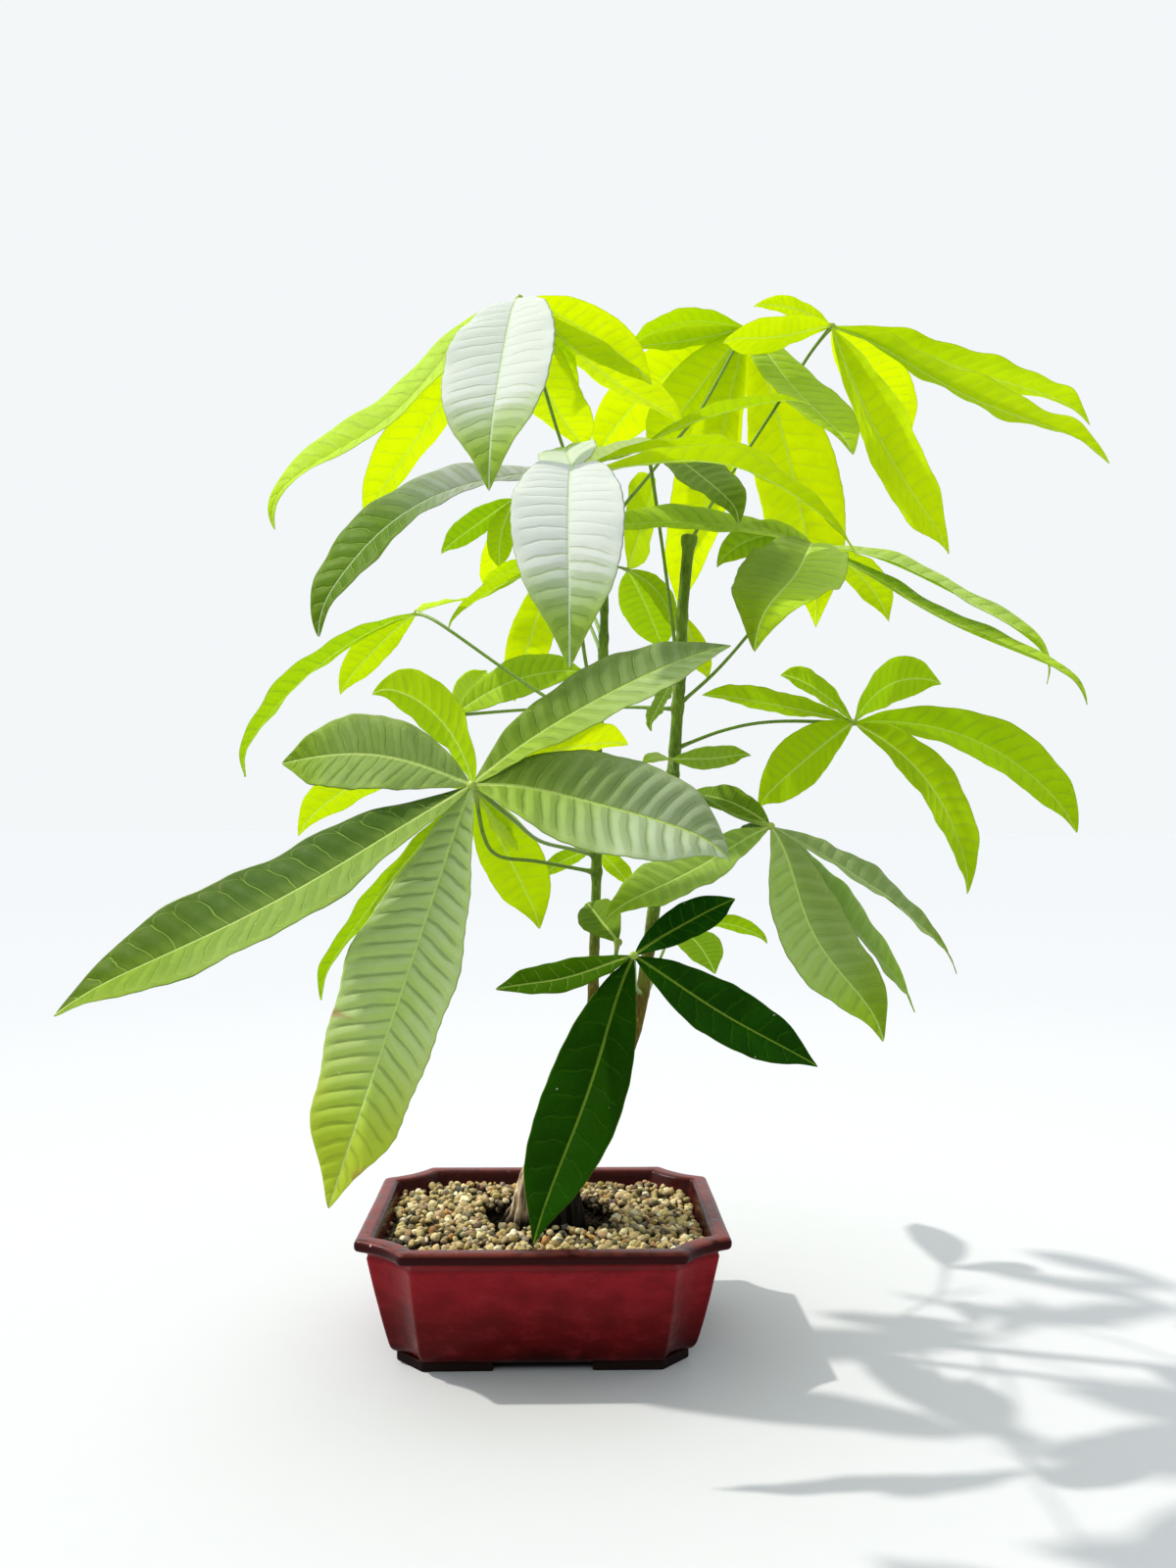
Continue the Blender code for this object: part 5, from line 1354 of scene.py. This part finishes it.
def random_turn(rng, flat=1.0):
    a, b, c = rng.uniform(0, 2 * np.pi), rng.uniform(-1, 1) * flat, rng.uniform(-1, 1) * flat
    za = np.array([[np.cos(a), -np.sin(a), 0], [np.sin(a), np.cos(a), 0], [0, 0, 1]])
    xb = np.array([[1, 0, 0], [0, np.cos(b), -np.sin(b)], [0, np.sin(b), np.cos(b)]])
    yc = np.array([[np.cos(c), 0, np.sin(c)], [0, 1, 0], [-np.sin(c), 0, np.cos(c)]])
    return za @ xb @ yc


def stone_shapes(number, seed, roughness):
    """Worn, slightly angular pebbles of unit size."""
    import bmesh
    bm = bmesh.new()
    bmesh.ops.create_icosphere(bm, subdivisions=2, radius=1.0)
    points = np.array([v.co[:] for v in bm.verts])
    faces = np.array([[v.index for v in f.verts] for f in bm.faces])
    bm.free()
    rng = np.random.default_rng(seed)
    shapes = []
    for _ in range(number):
        p = points.copy()
        # cut a few flat facets, then wear them down
        for _ in range(7):
            direction = rng.normal(size=3)
            direction /= np.linalg.norm(direction)
            reach = rng.uniform(0.56, 0.86)
            over = np.clip(p @ direction - reach, 0, None)
            p = p - direction * (over * 0.92)[:, None]
        p = p * (1 + roughness * 0.35 * rough_field(p, 1.6, int(rng.integers(1e6))))[:, None]
        p = p * np.array([1.0, rng.uniform(0.72, 0.95), rng.uniform(0.55, 0.85)])
        shapes.append((p, faces))
    return shapes


STONE_COLOURS = [
    ((0.400, 0.285, 0.115), 26), ((0.500, 0.385, 0.175), 24), ((0.270, 0.175, 0.062), 17), ((0.640, 0.530, 0.290), 12),
    ((0.150, 0.105, 0.045), 10), ((0.360, 0.160, 0.035), 4), ((0.240, 0.205, 0.130), 6), ((0.740, 0.660, 0.450), 5),
    ((0.060, 0.045, 0.022), 9), ((0.380, 0.290, 0.090), 8),
]


def build_gravel(mat):
    rng = np.random.default_rng(53)
    shapes = stone_shapes(36, 54, 0.45)
    weights = np.array([w for _, w in STONE_COLOURS], float)
    weights /= weights.sum()
    layers = {"gravel_top_stones": (0.00375, 0.0, 0.00240, 0), "gravel_under_stones": (0.0041, -0.0032, 0.0022, 1)}
    pieces = []
    for name, (pitch, sink, size, deep) in layers.items():
        build = Builder()
        rows = int(0.15 / (pitch * 0.866))
        cols = int(0.20 / pitch)
        placed = []
        for i in range(rows):
            for j in range(cols):
                x = (j + 0.5 * (i % 2) - cols / 2) * pitch + rng.normal(0, pitch * 0.17)
                y = (i - rows / 2) * pitch * 0.866 + rng.normal(0, pitch * 0.17)
                scale = size * math.exp(rng.normal(0, 0.22))
                scale = min(scale, size * 1.55)
                room = float(inside_pot(np.array(x), np.array(y), scale * 0.85))
                gap = float(hollow(np.array(x), np.array(y)))
                if y < -0.0185:
                    gap = max(gap, 0.20)      # heaped against the front of the trunk
                if room < 0 or gap < 0.02 + rng.uniform(-0.03, 0.05):
                    continue
                bare = 0.27 + 0.34 * float(smooth_step(-0.048 - x, 0.0, 0.016) * smooth_step(0.020 - y, 0.0, 0.020))
                if deep == 0 and rng.uniform() < bare:
                    continue
                placed.append((x, y, scale, gap))
        for x, y, scale, gap in placed:
            heap = 0.0022 * math.exp(-max(gap, 0) / 0.55) + 0.0011 * math.sin(38 * x + 1.2) * math.cos(47 * y - 0.6)
            slump = -0.0025 * (1 - smooth_step(gap, 0.0, 0.16))
            z = GRAVEL_TOP_Z - 0.0017 + sink + heap + slump + rng.normal(0, 0.00055)
            points, faces = shapes[rng.integers(36)]
            turn = random_turn(rng, 0.9)
            base = np.array(STONE_COLOURS[rng.choice(len(STONE_COLOURS), p=weights)][0])
            shade = np.clip(base * (1 + rng.normal(0, 0.10)) + rng.normal(0, 0.012, 3), 0.01, 0.9)
            # the deeper layer carries the painted shade of the gaps
            build.add((points * scale) @ turn.T + [x, y, z], [faces], 0, own=shade, own_shade=(0.95 * deep, 0, 0))
        pieces.append(build)
    return layers, pieces


def make_gravel(mat):
    layers, builds = build_gravel(mat)
    for (name, _), build in zip(layers.items(), builds):
        obj = build.piece(name, [mat])
        own(obj, "gravel", slot="gravel")


# ---- stage, light and camera ----------------------------------------------
def build_stage():
    rings = []
    for r in (0.0, 0.4, 1.0, 2.5, 6.0, 15.0, 60.0):
        rings.append([(r * math.cos(2 * math.pi * i / 48), r * math.sin(2 * math.pi * i / 48), 0.0) for i in range(48)])
    flat = np.array(rings[1:]).reshape(-1, 3)
    flat = np.vstack([flat, [0, 0, 0]])
    floor = mesh_piece("pale_floor", flat, [ring_faces(6, 48)[:, ::-1], fan(len(flat) - 1, np.arange(48))], [floor_material()],
                       smooth=False)

    world = bpy.data.worlds.new("soft_white_room")
    bpy.context.scene.world = world
    world.use_nodes = True
    tree = world.node_tree
    tree.nodes.clear()
    out = tree.nodes.new("ShaderNodeOutputWorld")
    shown = tree.nodes.new("ShaderNodeBackground")
    shown.inputs["Color"].default_value = (0.900, 0.930, 0.945, 1.0)
    shown.inputs["Strength"].default_value = 1.0
    # the room is brightest overhead and behind the plant, and dimmer from the front
    where = tree.nodes.new("ShaderNodeTexCoord")
    dot = tree.nodes.new("ShaderNodeVectorMath")
    dot.operation = "DOT_PRODUCT"
    dot.inputs[1].default_value = (-0.25, 0.52, 0.80)
    tree.links.new(where.outputs["Generated"], dot.inputs[0])
    level = tree.nodes.new("ShaderNodeMapRange")
    level.interpolation_type = "SMOOTHSTEP"
    for key, value in (("From Min", -0.75), ("From Max", 0.95), ("To Min", 0.39), ("To Max", 1.98)):
        level.inputs[key].default_value = value
    tree.links.new(dot.outputs["Value"], level.inputs["Value"])
    fill = tree.nodes.new("ShaderNodeBackground")
    fill.inputs["Color"].default_value = (0.895, 0.950, 0.995, 1.0)
    tree.links.new(level.outputs["Result"], fill.inputs["Strength"])
    path = tree.nodes.new("ShaderNodeLightPath")
    mix = tree.nodes.new("ShaderNodeMixShader")
    tree.links.new(path.outputs["Is Camera Ray"], mix.inputs[0])
    tree.links.new(fill.outputs[0], mix.inputs[1])
    tree.links.new(shown.outputs[0], mix.inputs[2])
    tree.links.new(mix.outputs[0], out.inputs["Surface"])

    sun = bpy.data.lights.new("key_light", "SUN")
    sun.energy = 3.7
    sun.angle = math.radians(1.6)
    sun.color = (1.0, 0.970, 0.915)
    lamp = bpy.data.objects.new("key_light", sun)
    bpy.context.scene.collection.objects.link(lamp)
    from mathutils import Vector
    lamp.rotation_euler = Vector((-0.80, 0.23, 1.00)).to_track_quat("Z", "Y").to_euler()
    lamp.location = (-1.0, 0.5, 1.5)


def build_camera():
    from mathutils import Matrix
    data = bpy.data.cameras.new("camera")
    data.sensor_width = 36.0
    data.sensor_fit = "AUTO"
    data.lens = 25.875
    data.clip_start, data.clip_end = 0.02, 200.0
    camera = bpy.data.objects.new("camera", data)
    bpy.context.scene.collection.objects.link(camera)
    turn = Matrix.Rotation(-0.027, 4, "Z") @ Matrix.Rotation(math.radians(90) + 0.0381, 4, "X") @ Matrix.Rotation(0.0038, 4, "Z")
    camera.matrix_world = Matrix.Translation((POT_X + 0.0062, POT_Y - 0.6563, 0.2842)) @ turn
    bpy.context.scene.camera = camera


# ---- everything -----------------------------------------------------------
def build_all():
    build_camera()
    build_stage()
    blade, stalk = leaf_material(), stalk_material()
    for index, (name, leaf) in enumerate(LEAVES.items()):
        build_leaf(name, leaf, [blade, stalk], index + 1)
    build_trunk(bark_material())
    build_pot(glaze_material())
    build_soil(soil_material())
    make_gravel(stone_material())
    net = screen_material()
    for name in ("drain_screen_left", "drain_screen_right"):
        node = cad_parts[name]
        node.data.materials.clear()
        node.data.materials.append(net)
    bpy.context.scene.view_settings.view_transform = "Standard"
    bpy.context.scene.view_settings.look = "None"


build_all()
bpy.context.view_layer.update()
